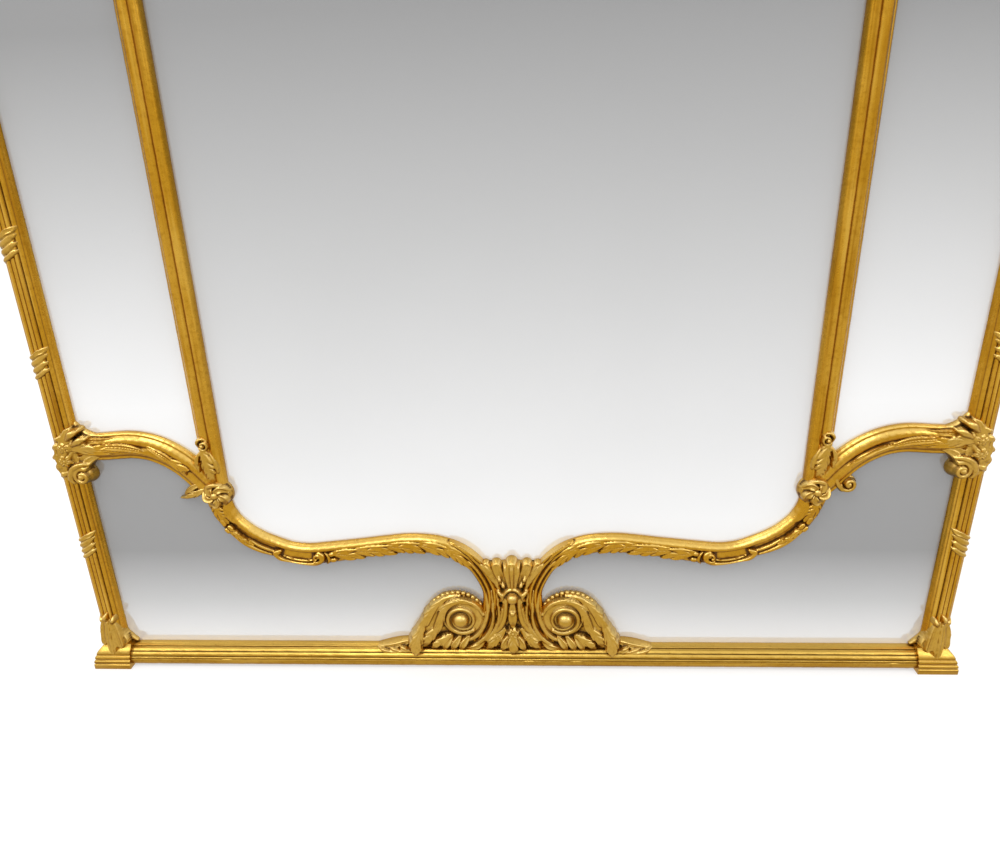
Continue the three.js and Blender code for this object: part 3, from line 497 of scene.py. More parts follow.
def painted(x, z, height, inside, spine, rise, kind="round", lobes=5, sink=2.2, slant=0.9):
    # raise the field along a stroke: spine points are (x, z, y, half width)
    line = through(spine)
    length = np.linalg.norm(np.diff(line[:, :2], axis=0), axis=1).sum()
    line = spaced(line, int(min(160, max(10, length))), 2)
    count = len(line)
    step = max(length / (count - 1), 1e-6)
    along = units(np.gradient(line[:, :2], axis=0))
    reach = line[:, 3].max() * 1.25 + 1.5
    near = ((x > line[:, 0].min() - reach) & (x < line[:, 0].max() + reach)
            & (z > line[:, 1].min() - reach) & (z < line[:, 1].max() + reach))
    px, pz = x[near], z[near]
    if not len(px):
        return
    gap = (px[:, None] - line[None, :, 0]) ** 2 + (pz[:, None] - line[None, :, 1]) ** 2
    k = gap.argmin(1)
    dx, dz = px - line[k, 0], pz - line[k, 1]
    ahead = dx * along[k, 0] + dz * along[k, 1]
    place = np.clip(k + ahead / step, 0, count - 1)
    nearX, nearZ, nearY, nearHalf = (np.interp(place, range(count), line[:, i]) for i in range(4))
    aside = np.hypot(px - nearX, pz - nearZ)
    side = np.sign(dz * along[k, 0] - dx * along[k, 1])
    share = place / (count - 1)
    half = np.maximum(nearHalf, 0.3)
    grow = rise * (half / line[:, 3].max()) ** 0.6
    if kind == "acanthus":
        # lobed edges, with a vein between each two lobes
        t = np.minimum(aside / half, 1.3)
        phase = lobes * share + 0.22 * np.sin(2.3 * lobes * share + 1.7 * side) + 0.12 * side
        wave = np.abs(np.sin(math.pi * (phase - slant * t ** 1.3)))
        half = half * (acanthus["narrow"] + acanthus["lobe"] * wave ** 0.7)
        t = aside / half
        vein = (1 - wave) ** 2 * np.clip(t * 1.7 - 0.15, 0, 1)
        tall = acanthus["edge"] + acanthus["crown"] * np.sqrt(np.clip(1 - t ** 2, 0, 1))
        tall = tall * (1 - acanthus["veins"] * vein) - acanthus["midrib"] * np.exp(-(t / 0.09) ** 2)
        tall = tall + acanthus["lip"] * np.clip((t - 0.5) / 0.3, 0, 1) * wave
    else:
        t = aside / half
        shape = np.asarray(sections[kind])
        tall = np.interp(t, shape[:, 0], shape[:, 1])
    front = grow * tall - nearY - sink * np.clip((t - 0.72) / 0.28, 0, 1) ** 2
    cover = (1 - t) * half
    on = cover > 0
    old = height[near]
    height[near] = np.where(on, np.maximum(old, front), old)
    inside[near] = np.maximum(inside[near], cover)


def blurred(field, reach):
    # mean over a square, twice
    for _ in range(2):
        for axis in (0, 1):
            padded = np.pad(field, [(reach + 1, reach) if a == axis else (0, 0) for a in (0, 1)], mode="edge")
            total = np.cumsum(padded, axis=axis)
            span = 2 * reach + 1
            high = np.take(total, range(span, total.shape[axis]), axis)
            low = np.take(total, range(0, total.shape[axis] - span), axis)
            field = (high - low) / span
    return field


class Relief(Worked):
    # a carved front over a flat back, cut out along the outline of its strokes
    slotName, cuts = "carved", 70

    def __init__(self, x0, x1, z0, z1, back=-0.3, cell=1.0, rim=5.0, edge=4.0):
        self.cell, self.rim, self.edge, self.back = cell, rim, edge, back
        across, up = np.arange(x0, x1 + cell, cell), np.arange(z0, z1 + cell, cell)
        self.x, self.z = np.meshgrid(across, up, indexing="ij")
        self.height = np.full(self.x.shape, -back)
        self.inside = np.full(self.x.shape, -6.0)

    def stroke(self, spine, rise, kind="round", lobes=5, sink=2.2, slant=0.9):
        painted(self.x, self.z, self.height, self.inside, spine, rise, kind, lobes, sink, slant)

    def both(self, spine, *form, **more):
        # a stroke and its mirror image
        self.stroke(spine, *form, **more)
        self.stroke([(-x, z, y, w) for x, z, y, w in spine], *form, **more)

    def ground(self, outline, y):
        # a flat field inside an outline
        p = np.asarray(outline, float)
        q = np.roll(p, -1, 0)
        spot = np.stack([self.x.ravel(), self.z.ravel()], 1)
        away = np.full(len(spot), 1e9)
        odd = np.zeros(len(spot), bool)
        for a, b in zip(p, q):
            span = b - a
            t = np.clip(((spot - a) @ span) / max(span @ span, 1e-9), 0, 1)
            away = np.minimum(away, np.linalg.norm(spot - a - t[:, None] * span, axis=1))
            crosses = (a[1] > spot[:, 1]) != (b[1] > spot[:, 1])
            where = a[0] + (spot[:, 1] - a[1]) * span[0] / (span[1] if abs(span[1]) > 1e-9 else 1e-9)
            odd ^= crosses & (spot[:, 0] < where)
        signed = np.where(odd, away, -away).reshape(self.x.shape)
        self.inside = np.maximum(self.inside, signed)
        self.height = np.where(signed > 0, np.maximum(self.height, -y), self.height)

    def turn(self, x, z, profile):
        # turned form: profile is (radius, y) outwards from the centre
        line = np.asarray(profile, float)
        gone = np.hypot(self.x - x, self.z - z)
        tall = np.interp(gone, line[:, 0], -line[:, 1])
        on = gone < line[-1, 0]
        self.height = np.where(on, tall, self.height)
        self.inside = np.maximum(self.inside, line[-1, 0] - gone)

    def pearl(self, x, z, y, radius):
        gone = np.hypot(self.x - x, self.z - z) / radius
        tall = -y + radius * (np.sqrt(np.clip(1 - gone ** 2, 0, 1)) - 1)
        self.height = np.where(gone < 1, np.maximum(self.height, tall), self.height)
        self.inside = np.maximum(self.inside, (1 - gone) * radius)

    def rosette(self, x, z, y, reach, count, rise=4.0, twist=0.4):
        for i in range(count):
            a = 2 * math.pi * i / count
            petal = []
            for s, back, w in ((0.1, 1, 0.14), (0.45, 0, 0.27), (0.75, 0.4, 0.30), (1.0, 3, 0.14)):
                turn = a + twist * s
                petal.append((x + reach * s * math.cos(turn), z + reach * s * math.sin(turn),
                              y + back, w * reach))
            self.stroke(petal, rise, "petal")
        self.pearl(x, z, y - rise, reach * 0.27)

    def shape(self):
        x, z, inside = self.x, self.z, self.inside.copy()
        inside[0], inside[-1], inside[:, 0], inside[:, -1] = -1, -1, -1, -1
        on = inside > 0
        away = np.zeros(x.shape)
        left = on.copy()
        for _ in range(int(self.rim / self.cell) + 1):
            away += left
            padded = np.pad(left, 1)
            left = left & padded[2:, 1:-1] & padded[:-2, 1:-1] & padded[1:-1, 2:] & padded[1:-1, :-2]
        away = np.clip(blurred(away, 1) * self.cell / self.rim, 0, 1)
        tall = np.where(on, self.height, 0)
        edge = self.edge - self.back
        tall = np.where(on, edge + (tall - edge) * np.sqrt(np.clip(1 - (1 - away) ** 2, 0, 1)), edge)
        tall = tall * 0.7 + blurred(tall, 1) * 0.3
        wide = max(1, round(3 / self.cell))
        # hollowness where the relief lies below its surroundings; the leaf shows it as glaze and painted
        # shade
        hollow = (blurred(tall, wide) - tall) * 0.17 + (blurred(tall, max(1, wide // 2)) - tall) * 0.28
        hollow = np.clip(hollow + 0.02, 0, 1) * on
        # cut the grid's triangles along the outline: whole ones, then those with one or two corners inside
        n = x.size
        index = np.arange(n).reshape(x.shape)
        a, b = index[:-1, :-1].ravel(), index[1:, :-1].ravel()
        c, d = index[1:, 1:].ravel(), index[:-1, 1:].ravel()
        even = (np.add.outer(np.arange(x.shape[0] - 1), np.arange(x.shape[1] - 1)) % 2 == 0).ravel()
        first = np.where(even[:, None], np.stack([a, b, c], 1), np.stack([a, b, d], 1))
        second = np.where(even[:, None], np.stack([a, c, d], 1), np.stack([b, c, d], 1))
        tri = np.vstack([first, second])
        flat = inside.ravel()
        good = flat[tri] > 0
        many = good.sum(1)
        whole = tri[many == 3]

        def rolled(rows, pick):
            turn = pick.argmax(1)
            return np.stack([rows[np.arange(len(rows)), (turn + k) % 3] for k in range(3)], 1)
        one = rolled(tri[many == 1], good[many == 1])
        two = rolled(tri[many == 2], ~good[many == 2])
        pairs = np.vstack([one[:, [0, 1]], one[:, [0, 2]], two[:, [0, 1]], two[:, [0, 2]]])
        keys = np.sort(pairs, 1)
        keys, where = np.unique(keys[:, 0] * n + keys[:, 1], return_inverse=True)
        where = where.ravel() + n
        low, high = keys // n, keys % n
        t = flat[low] / (flat[low] - flat[high])
        cutX = x.ravel()[low] * (1 - t) + x.ravel()[high] * t
        cutZ = z.ravel()[low] * (1 - t) + z.ravel()[high] * t
        i, j = len(one), len(two)
        oneB, oneC, twoB, twoC = where[:i], where[i:2 * i], where[2 * i:2 * i + j], where[2 * i + j:]
        faces = np.vstack([whole, np.stack([one[:, 0], oneB, oneC], 1),
                           np.stack([twoB, two[:, 1], two[:, 2]], 1), np.stack([twoB, two[:, 2], twoC], 1)])
        rims = np.vstack([np.stack([oneB, oneC], 1), np.stack([twoC, twoB], 1)])
        allX = np.r_[x.ravel(), cutX]
        allZ = np.r_[z.ravel(), cutZ]
        front = np.r_[tall.ravel(), np.full(len(cutX), edge)]
        # cut edges and the back get a fixed hollowness, so the leaf is darkened there too, partly as painted
        # shade
        shade = np.r_[hollow.ravel(), np.full(len(cutX), 0.25)]
        used = np.unique(faces)
        fresh = np.full(len(allX), -1)
        fresh[used] = np.arange(len(used))
        faces, rims, m = fresh[faces], fresh[rims], len(used)
        points = np.stack([allX[used], -front[used], allZ[used]], 1)
        behind = points.copy()
        behind[:, 1] = self.back
        walls = np.vstack([np.stack([rims[:, 1], rims[:, 0], rims[:, 0] + m], 1),
                           np.stack([rims[:, 1], rims[:, 0] + m, rims[:, 1] + m], 1)])
        faces = np.vstack([faces, faces[:, ::-1] + m, walls])
        return np.vstack([points, behind]), np.r_[shade[used], np.full(m, 0.3)], faces.tolist()


base = {
    "half": 696.7, "stations": 200, "slant": (0.5, 0.86),
    # front of the rail as (y, z, swell)
    "profile": [(37, 6, 0), (-27.8, 6, 0), (-29.6, 7.6, 0.3), (-31.0, 13.0, 0.4), (-30.5, 17.2, 0.3),
                (-28.8, 18.0, 0), (-30.0, 19.0, 0), (-28.6, 21.2, 0.4), (-26.0, 21.8, 0), (-28.4, 23.4, 0),
                (-23.8, 28.6, 0.8), (-22.0, 28.0, 0), (-22.6, 29.8, 0), (-15.4, 34.0, 0.9), (-13.2, 32.2, 0),
                (-13.4, 34.4, 0), (-3, 36.6, 1.0), (-0.3, 36.6, 0), (-0.3, 29, 0), (37, 29, 0)],
}


def baseRail():
    # each stretch of the profile swells square to itself
    points = [base["profile"][0][:2]]
    for (y0, z0, _), (y1, z1, swell) in zip(base["profile"], base["profile"][1:]):
        length = math.hypot(y1 - y0, z1 - z0)
        count = 6 if swell else 1
        for k in range(1, count + 1):
            t = k / count
            push = swell * 4 * t * (1 - t)
            points.append((y0 + (y1 - y0) * t - push * (z1 - z0) / length,
                           z0 + (z1 - z0) * t + push * (y1 - y0) / length))
    p = np.asarray(points)
    # its hollows are found square to its slanting front
    across, ahead = base["slant"]
    shade = grooves(np.stack([p[:, 0] * across + p[:, 1] * ahead, -p[:, 1] * across + p[:, 0] * ahead], 1))
    xs = np.linspace(-base["half"], base["half"], base["stations"])
    rings = np.stack(np.broadcast_arrays(xs[:, None], p[:, 0], p[:, 1]), -1)
    uneven = hand(rings * (1, 0, 3) + rings[..., 1:2] * (0, 0, 4)) * 0.8
    rings[..., 1] += np.where(rings[..., 1] < -4, uneven, 0)
    carve = Carving("level")
    carve.skin(rings, shade)
    carve.piece("gilt_base_rail", "base_rail")


plinthBlock = {
    "inner": 697, "outer": 748, "front": -20, "back": 37, "corner": 2.2,
    # how far each step stands out, and its height
    "steps": [(17, 0), (17.6, 4), (17, 8.5), (15, 10), (16.3, 12.5), (15.6, 15.5), (13.2, 17), (14.4, 20),
              (13.2, 23.5), (11, 24.8), (11.4, 28), (8.2, 33), (3.6, 37.6), (0, 42)],
}


def plinth():
    b = plinthBlock
    steps = through(b["steps"], 4)
    steps[:, 0] = np.clip(steps[:, 0], 0, b["steps"][0][0])
    shade = grooves(np.stack([steps[:, 1], -steps[:, 0]], 1))
    rings = []
    for out, z in steps:
        side, front, corner = b["outer"] + out, b["front"] - out, b["corner"]
        rings.append([(b["inner"], front, z), (b["inner"] + 0.2, front, z), (side - corner, front, z),
                      (side - corner * 0.3, front + corner * 0.3, z), (side, front + corner, z),
                      (side, b["back"], z), (b["inner"], b["back"], z)])
    carve = Carving("level")
    carve.skin(np.asarray(rings, float), shade[:, None])
    carve.pair("gilt_plinth", "plinth_block")


inner = {
    "x": 490.5, "foot": 342, "top": 1532, "stations": 120,
    # (u, y, swell) from the outer edge to the inner one
    "profile": bulged([(19.5, -0.3, 0), (19.5, -3.5, 0), (15.4, -7.4, 0.8), (14.2, -7.6, 0), (13.6, -10.5, 0),
                       (5, -15.4, 1.8), (-1.6, -14.4, 1.0), (-3.0, -13.0, 0), (-4.4, -14.2, 0),
                       (-12.5, -14.8, 1.6), (-13.4, -13.6, 0), (-16.6, -11.0, 0.8), (-19, -5.0, 0.6),
                       (-19, -0.3, 0)]),
}


def innerStile():
    carve = Carving("upright")
    line = [(inner["x"], z) for z in np.linspace(inner["foot"], inner["top"], inner["stations"])]
    carve.moulding(line, lambda t: inner["profile"] * (-1, 1))
    carve.pair("gilt_inner_stile", "inner_stile")


class RailSpot:
    # turns (x, u, y, w) beside a rail into (x, z, y, w) on it, between two stations
    def __init__(self, line, first, last, lower=1.0):
        self.line = line[first:last + 1]
        self.lower = lower
        along = units(np.gradient(self.line, axis=0))
        self.side = np.stack([-along[:, 1], along[:, 0]], 1)

    def spine(self, points):
        out = []
        for x, u, y, w in points:
            i = int(np.abs(self.line[:, 0] - x).argmin())
            u = u * (self.lower if u > 0 else 1)
            out.append((self.line[i, 0] + self.side[i, 0] * u, self.line[i, 1] + self.side[i, 1] * u, y, w))
        return out

    def strokes(self, rows):
        return [(self.spine(spine), *form) for spine, *form in rows]


arch = {
    # leaf points are (x, distance beside the line, y, half width), then how a stroke rises and its form
    # centre line of the right rail, from the outer stile inwards
    "line": [(712, 427), (684, 427.5), (660, 428.5), (640, 430), (620, 430.5), (600, 428), (580, 422),
             (560, 412), (540, 397.5), (522, 379.5), (507, 361), (491, 346)],
    "stations": 300, "lastLeafed": 229,
    "profile": spaced(bulged([
        (-21.5, -0.3, 0), (-21.5, -4, 0), (-19.6, -7.6, 0.8), (-16.8, -9.2, 0.6), (-15.8, -8.6, 0),
        (-14.8, -9.8, 0), (-1.0, -13.6, 3.4), (0.4, -12.0, 0), (1.6, -11.4, 0), (17.6, -11.0, 2.8),
        (19.4, -8.8, 0), (21.4, -9.4, 0), (25.2, -7.2, 0.9), (26.4, -4, 0), (26.4, -0.3, 0)]), 84, 2),
    "leaves": [
        ([(712, 4, -12, 7), (694, 4, -14, 10), (672, 4, -14, 10), (652, 6, -13, 8), (634, 10, -11, 2)],
         5, "acanthus", 2, 2.2, 0.8),
        ([(676, -3, -14, 3), (652, 0, -15, 7), (628, 3, -14.5, 8), (606, 7, -13, 6), (590, 11, -11, 2)],
         4.4, "leaf"),
        ([(712, -12, -11, 4), (690, -12, -12.5, 6), (664, -11, -11.5, 5), (640, -12, -9, 2)], 4, "leaf"),
    ],
    # the lower end, leafed on all arches but the right one, which ends in a small scroll
    "leafedEnd": [
        ([(590, -2, -13, 3), (576, 1, -14, 6), (560, 4, -14, 7), (544, 9, -12, 3)], 4.6, "leaf"),
        ([(566, 4, -12, 4), (546, 5, -13.5, 8), (524, 5, -13.5, 9), (506, 6, -12, 5)],
         4.4, "acanthus", 2, 2.2, 0.8),
    ],
    "scrolledEnd": [([(604, 7, -12, 2), (578, 6, -13.5, 4.5), (548, 6, -13.5, 5), (514, 7, -11, 3)],
                     4, "leaf")],
    "curl": (541, 352),
}


def archRail():
    line = spaced(through(arch["line"]), arch["stations"], 2)
    at = RailSpot(line, 0, arch["lastLeafed"])
    for over in (False, True):
        for mirror, side in sides:
            end = "leafedEnd" if over or mirror else "scrolledEnd"
            carve = Carving()
            carve.moulding(line, lambda t: arch["profile"], carved=at.strokes(arch["leaves"] + arch[end]))
            name, node = ("gilt_upper_arch", "upper_arch_rail") if over else ("gilt_arch", "arch_rail")
            carve.piece(f"{name}_{side}", f"{node}_{side}", mirror=mirror, over=over)
    # little scroll under the right arch and leaf tip under the left one
    x, z = arch["curl"]
    curl = Relief(516, 562, 330, 376, cell=0.7, rim=3, edge=5)
    curl.turn(x, z, [(0, -8), (10, -8), (13.5, -6)])
    curl.stroke(spiral(x, z, 12.5, 3, 190, 600, -9, -14, 4.2, 2.8, 24), 5.5)
    curl.stroke([(518, 366, -9, 4), (524, 352, -11, 4.6), (532, 342, -10, 4)], 4.6)
    curl.pearl(x, z, -18, 4)
    curl.piece("gilt_arch_curl")
    tip = Relief(498, 560, 322, 366, cell=0.8, rim=3, edge=4)
    tip.stroke([(502, 352, -9, 4), (516, 346, -11, 7), (532, 339, -10, 6.5), (544, 334, -8, 4),
                (555, 332, -6, 1.5)], 5, "acanthus", 3, 2.2, 1.2)
    tip.stroke([(512, 360, -9, 3), (526, 355, -11, 5.5), (538, 347, -9, 4.5), (546, 340, -6, 2)], 4.6, "leaf")
    tip.piece("gilt_arch_tip", mirror=True)


scroll = {
    # centre line of the right rail, from the knuckle to the middle
    "line": [(491, 346), (488, 322), (481, 301), (470, 282), (450, 262), (425, 246), (400, 235.5), (375, 228),
             (350, 224.5), (325, 225.5), (300, 228.5), (250, 235.5), (200, 242), (175, 244), (150, 243.5),
             (125, 240), (100, 231.5), (80, 219), (62, 201), (48, 178), (38, 152), (37, 128), (41, 102),
             (49, 76), (58, 50), (64, 22)],
    "stations": 640, "toReeds": 0.62,
    "lastLeafedX": 64, "lower": 1.33,  # leaves end there, and keep that much further below the line
    "curl": (335, 5),
    "band": spaced(bulged([
        (-15, -0.3, 0), (-15, -3.5, 0), (-13.6, -6.8, 0.6), (-3.6, -12.0, 4.0), (-2.2, -9.4, 0),
        (-1.2, -7.2, 0), (3, -7.0, 0), (10, -7.2, 0), (16.4, -7.4, 0.4), (19.4, -5.4, 0.4), (20, -3.4, 0),
        (20, -0.3, 0)], 10), 64, 2),
    "reeds": spaced(bulged([
        (-15, -0.3, 0), (-15, -5, 0), (-12.6, -9.4, 0.4), (-10.8, -8.6, 0), (-10, -9.8, 0),
        (-3.4, -12.4, 2.8), (-2, -9.6, 0), (-1, -9.6, 0), (0.2, -12.2, 0), (5.4, -12.6, 2.2),
        (6.8, -9.6, 0), (7.8, -9.6, 0), (12.6, -11.0, 2.2), (14.4, -8, 0.5), (15, -0.3, 0)]), 64, 2),
    # under the knuckle
    "knuckleLeaves": [
        ([(497, 334, -8, 4), (496, 318, -10, 9), (489, 302, -10, 10), (480, 288, -9, 4)], 6, "acanthus", 5),
        ([(482, 326, -8, 2), (481, 308, -10, 4.6), (474, 294, -10, 4.6), (466, 284, -9, 2)], 5),
        ([(500, 322, -7, 2), (500, 306, -8, 4), (494, 292, -8, 4), (486, 280, -7, 2)], 5),
    ],
    # beside the rail: first leaves, then a C-scroll with two curls
    "beside": [
        ([(474, 8, -8, 3), (462, 8, -10, 6), (448, 8, -10, 5), (436, 9, -9, 2)], 5, "acanthus", 4),
        ([(468, 14, -7, 2), (448, 13, -9, 3.8), (428, 12.5, -9, 4), (408, 13, -7, 2)], 4.5),
        ([(446, 5, -8, 2), (430, 6, -9, 3.2), (414, 6, -9, 3.2), (402, 6, -8, 2)], 4),
        ([(396, 2, -10, 3), (403, 7, -11, 4.4), (394, 13, -10, 4.2), (378, 15.2, -8, 3.6),
          (358, 15.4, -8, 3.6), (342, 14.6, -9, 4.2), (328, 10, -11, 5), (325, 3, -11, 5),
          (332, -1, -10, 4), (338, 3, -9, 2)], 6),
        ([(390, 9.5, -7, 1.5), (374, 10.5, -8, 2.2), (354, 10.5, -8, 2.2), (338, 9, -7, 1.5)], 3.4),
        ([(320, -1, -9, 2), (315, 5, -10, 3.2), (315, 11, -10, 3.2), (320, 15, -8, 2)], 5),
    ],
    # pearls: x, distance beside the line, radius
    "pearls": [(470, 6, 4.6), (477, 9, 4.2), (470, 12, 3.8), (399, 5, 3.8), (331, 4, 3.8), (309, 2, 4.2),
               (307, 10, 4.6)],
    # leaves that follow one another: where each starts and stops, how far it is moved up, its lobes
    "running": [(306, 258, 0, 2), (270, 202, -0.5, 3), (212, 150, -1, 3), (158, 104, -1.5, 2),
                (114, 72, -2, 2)],
    # climbing on to the palmette
    "climbing": [
        ([(122, 236, -9, 3), (104, 229, -11, 8), (86, 216, -12, 9), (70, 196, -10, 3)],
         5.5, "acanthus", 3, 2.2, 1.2),
        ([(104, 246, -9, 3), (84, 238, -12, 7), (64, 226, -13, 8), (48, 210, -12, 5), (38, 192, -9, 2)],
         5.5, "acanthus", 3, 2.2, 1.2),
        ([(84, 242, -8, 2), (66, 236, -11, 5.5), (50, 230, -11, 5), (38, 222, -8, 2)], 5, "leaf"),
    ],
}


def scrollShape(t):
    # bold band with a ground for leaves, then three reeds at the waist
    change = min(1, max(0, (t - scroll["toReeds"]) / 0.08))
    change = change ** 2 * (3 - 2 * change)
    return scroll["band"] * (1 - change) + scroll["reeds"] * change


def scrollWidth(t):
    # widest at the knuckle and under the C-scroll
    swell = 1.12 + 0.18 * max(0, 1 - t / 0.06) if t < 0.2 else 1.12 - 0.12 * min(1, (t - 0.2) / 0.05)
    return swell + 0.12 * max(0, 1 - abs(t - 0.34) / 0.1)


def scrollRail():
    line = spaced(through(scroll["line"]), scroll["stations"], 2)
    at = RailSpot(line, 0, int(np.argmax(line[:, 0] < scroll["lastLeafedX"])), scroll["lower"])
    strokes = scroll["knuckleLeaves"] + at.strokes(scroll["beside"]) + scroll["climbing"]
    curlX, curlZ = at.spine([(*scroll["curl"], 0, 1)])[0][:2]
    strokes.append((spiral(curlX, curlZ, 9, 3, -60, -420, -11, -13.5, 3.6, 2.4, 18), 6))
    for x, u, r in scroll["pearls"]:
        strokes.append((at.spine([(x + 1.5, u, -14 + 0.4 * r, r), (x - 1.5, u, -14 + 0.4 * r, r)]), r * 0.9))
    for start, stop, lift, lobes in scroll["running"]:
        size = start - stop
        leaf = [(start + 5, 1 + lift, -9, 4), (start - 0.2 * size, 2.5 + lift, -10, 9),
                (start - 0.55 * size, 5 + lift, -10.5, 11.5), (stop + 0.16 * size, 9 + lift, -9.5, 8),
                (stop - 3, 14.5 + lift, -8, 2)]
        rib = [(start - 0.05 * size, -2 + lift, -11, 1.5), (start - 0.4 * size, -3.5 + lift, -12.5, 3.0),
               (start - 0.75 * size, -2 + lift, -12.5, 3.0), (stop - 6, 1 + lift, -10, 1)]
        strokes += at.strokes([(leaf, 6.2, "acanthus", lobes, 2.6, 0.8), (rib, 4.2)])
    carve = Carving()
    carve.moulding(line, scrollShape, scrollWidth, carved=strokes)
    carve.pair("gilt_scroll", "scroll_rail")
    carve.pair("gilt_upper_scroll", "upper_scroll_rail", over=True)


top = {
    # centre line of the right half, from the outer stile to the middle
    "line": [(728, 1636), (727, 1672), (716, 1706), (690, 1737), (650, 1757), (590, 1768), (500, 1776),
             (410, 1786), (320, 1803), (230, 1826), (140, 1850), (70, 1864), (0, 1870)],
    "stations": 420, "gap": 0.15,
    "profile": bulged([
        (-20, 37, 0), (-20, -17.2, 0), (-13, -17.2, 2.8), (-6, -17.2, 2.8), (1, -17.2, 2.8), (8, -17.2, 2.8),
        (8.6, -9, 0), (10, -10.4, 0), (18, -11.8, 3.0), (20, -8, 0.6), (20, -0.3, 0), (12, -0.3, 0),
        (12, 37, 0)], 8),
    "leaf": [(728, 1680, -16, 5), (724, 1708, -18, 14), (706, 1738, -18, 16), (676, 1756, -17, 10),
             (652, 1762, -15, 3)],
}


def topRail():
    carve = Carving()
    line = spaced(through(top["line"]), top["stations"], 2)
    line[-1, 0] = top["gap"]
    carve.moulding(line, lambda t: top["profile"], carved=[(top["leaf"], 6, "acanthus", 7)])
    carve.pair("gilt_top_rail", "top_rail")


def nodeTool(name, sockets, build):
    # a node tree with named inputs; build gets the bench and the inputs and returns the last geometry
    tree = bpy.data.node_groups.new(name, "GeometryNodeTree")
    tree.is_modifier = True
    tree.interface.new_socket(name="Geometry", in_out="INPUT", socket_type="NodeSocketGeometry")
    for title, kind in sockets.items():
        tree.interface.new_socket(name=title, in_out="INPUT", socket_type=kind)
    tree.interface.new_socket(name="Geometry", in_out="OUTPUT", socket_type="NodeSocketGeometry")
    bench = Bench(tree)
    bench.node("NodeGroupInput")
    given = {socket.name: Wire(socket) for socket in bench.last.outputs if socket.name}
    result = build(bench, given)
    result = bench.node("GeometryNodeRealizeInstances", inputs={0: result})
    result = bench.node("GeometryNodeSetMaterial", inputs={0: result, "Material": given["Finish"]})
    bench.node("NodeGroupOutput", inputs={0: result})
    return tree


def applied(tool, mesh, values):
    # the tool run on a mesh, as a plain mesh
    holder = bpy.data.objects.new("holder", mesh)
    scene.collection.objects.link(holder)
    modifier = holder.modifiers.new("tool", "NODES")
    modifier.node_group = tool
    names = {item.name: item.identifier for item in tool.interface.items_tree if item.in_out == "INPUT"}
    for title, value in values.items():
        modifier[names[title]] = value
    bpy.context.view_layer.update()
    done = bpy.data.meshes.new_from_object(holder.evaluated_get(bpy.context.evaluated_depsgraph_get()))
    holder.modifiers.clear()
    bpy.data.objects.remove(holder)
    return done


def reededBuild(bench, given):
    # a box whose front follows the reeds by rule: reeds, a groove, then a smooth sight band
    box = bench.node("GeometryNodeMeshCube", inputs={
        "Size": bench.together(given["Width"], 0.003, given["Length"]), "Vertices X": given["Steps Across"],
        "Vertices Y": 4, "Vertices Z": given["Steps Along"]})
    px, py, pz = bench.apart(bench.node("GeometryNodeInputPosition"))
    fromOuter = given["Width"] * 0.5 - px
    reeds = fromOuter / given["Reed Width"]
    acrossReed = bench.node("ShaderNodeMath", {"operation": "FRACT"}, {0: reeds + 0.0001})
    swell = bench.node("ShaderNodeMath", {"operation": "SINE"}, {0: acrossReed * math.pi}) ** 0.8
    onReeds = reeds.under(given["Reed Count"] - 0.01)
    allReeds = given["Reed Width"] * given["Reed Count"]
    band = (fromOuter - allReeds) / (given["Width"] - allReeds)
    fall = bench.stretch(fromOuter, 0.013, 0.0)
    reedFront = given["Valley"] - given["Reed Rise"] * swell + given["Outer Fall"] * fall * fall
    # the sight band falls towards the glass and has a low flat raised on it
    bandFront = -0.0150 + 0.0122 * band ** 2.4 - 0.0010 * band.under(0.8) * band.over(0.1)
    front = onReeds * reedFront + (1.0 - onReeds) * bandFront
    isFront = py.under(-0.001)
    isBack = py.over(0.001)
    isMiddle = (1.0 - isFront) * (1.0 - isBack)
    behind = py.over(0.0)
    y = isFront * front + isMiddle * given["Lip"] + isBack * given["Back"]
    rebated = given["Rebate"] - given["Width"] * 0.5
    kept = px.joined("MAXIMUM", px, rebated)
    x = behind * kept + (1.0 - behind) * px
    place = bench.together(x + given["Centre"], y, pz + given["Length"] * 0.5 + given["Foot"])
    shaped = bench.node("GeometryNodeSetPosition", inputs={0: box, "Position": place})
    # the reeds' valleys and the groove beside the sight band get hollowness, shown on the leaf as glaze and
    # painted shade
    groove = onReeds * (1.0 - swell) ** 2.0 * 0.8 + (1.0 - onReeds) * band.under(0.13) * 0.8
    return bench.node("GeometryNodeStoreNamedAttribute", {"data_type": "FLOAT", "domain": "POINT"},
                      {0: shaped, "Name": "hollow", "Value": groove * isFront * 0.9})


def pearlBuild(bench, given):
    # small balls set at even distances on a line
    line = bench.node("GeometryNodeMeshToCurve", inputs={0: given["Geometry"]})
    spots = bench.node("GeometryNodeResampleCurve", inputs={0: line, "Count": given["Count"]})
    ball = bench.node("GeometryNodeMeshIcoSphere",
                      inputs={"Radius": given["Pearl Radius"], "Subdivisions": 3})
    return bench.node("GeometryNodeInstanceOnPoints", inputs={0: spots, "Instance": ball})


def tieBuild(bench, given):
    # the same carved tie set at each height
    bench.node("GeometryNodeObjectInfo", {"transform_space": "ORIGINAL"}, {0: given["Tie"]})
    shape = Wire(bench.last.outputs["Geometry"])
    spots = bench.node("GeometryNodeMeshToPoints", inputs={0: given["Geometry"]})
    return bench.node("GeometryNodeInstanceOnPoints", inputs={0: spots, "Instance": shape})


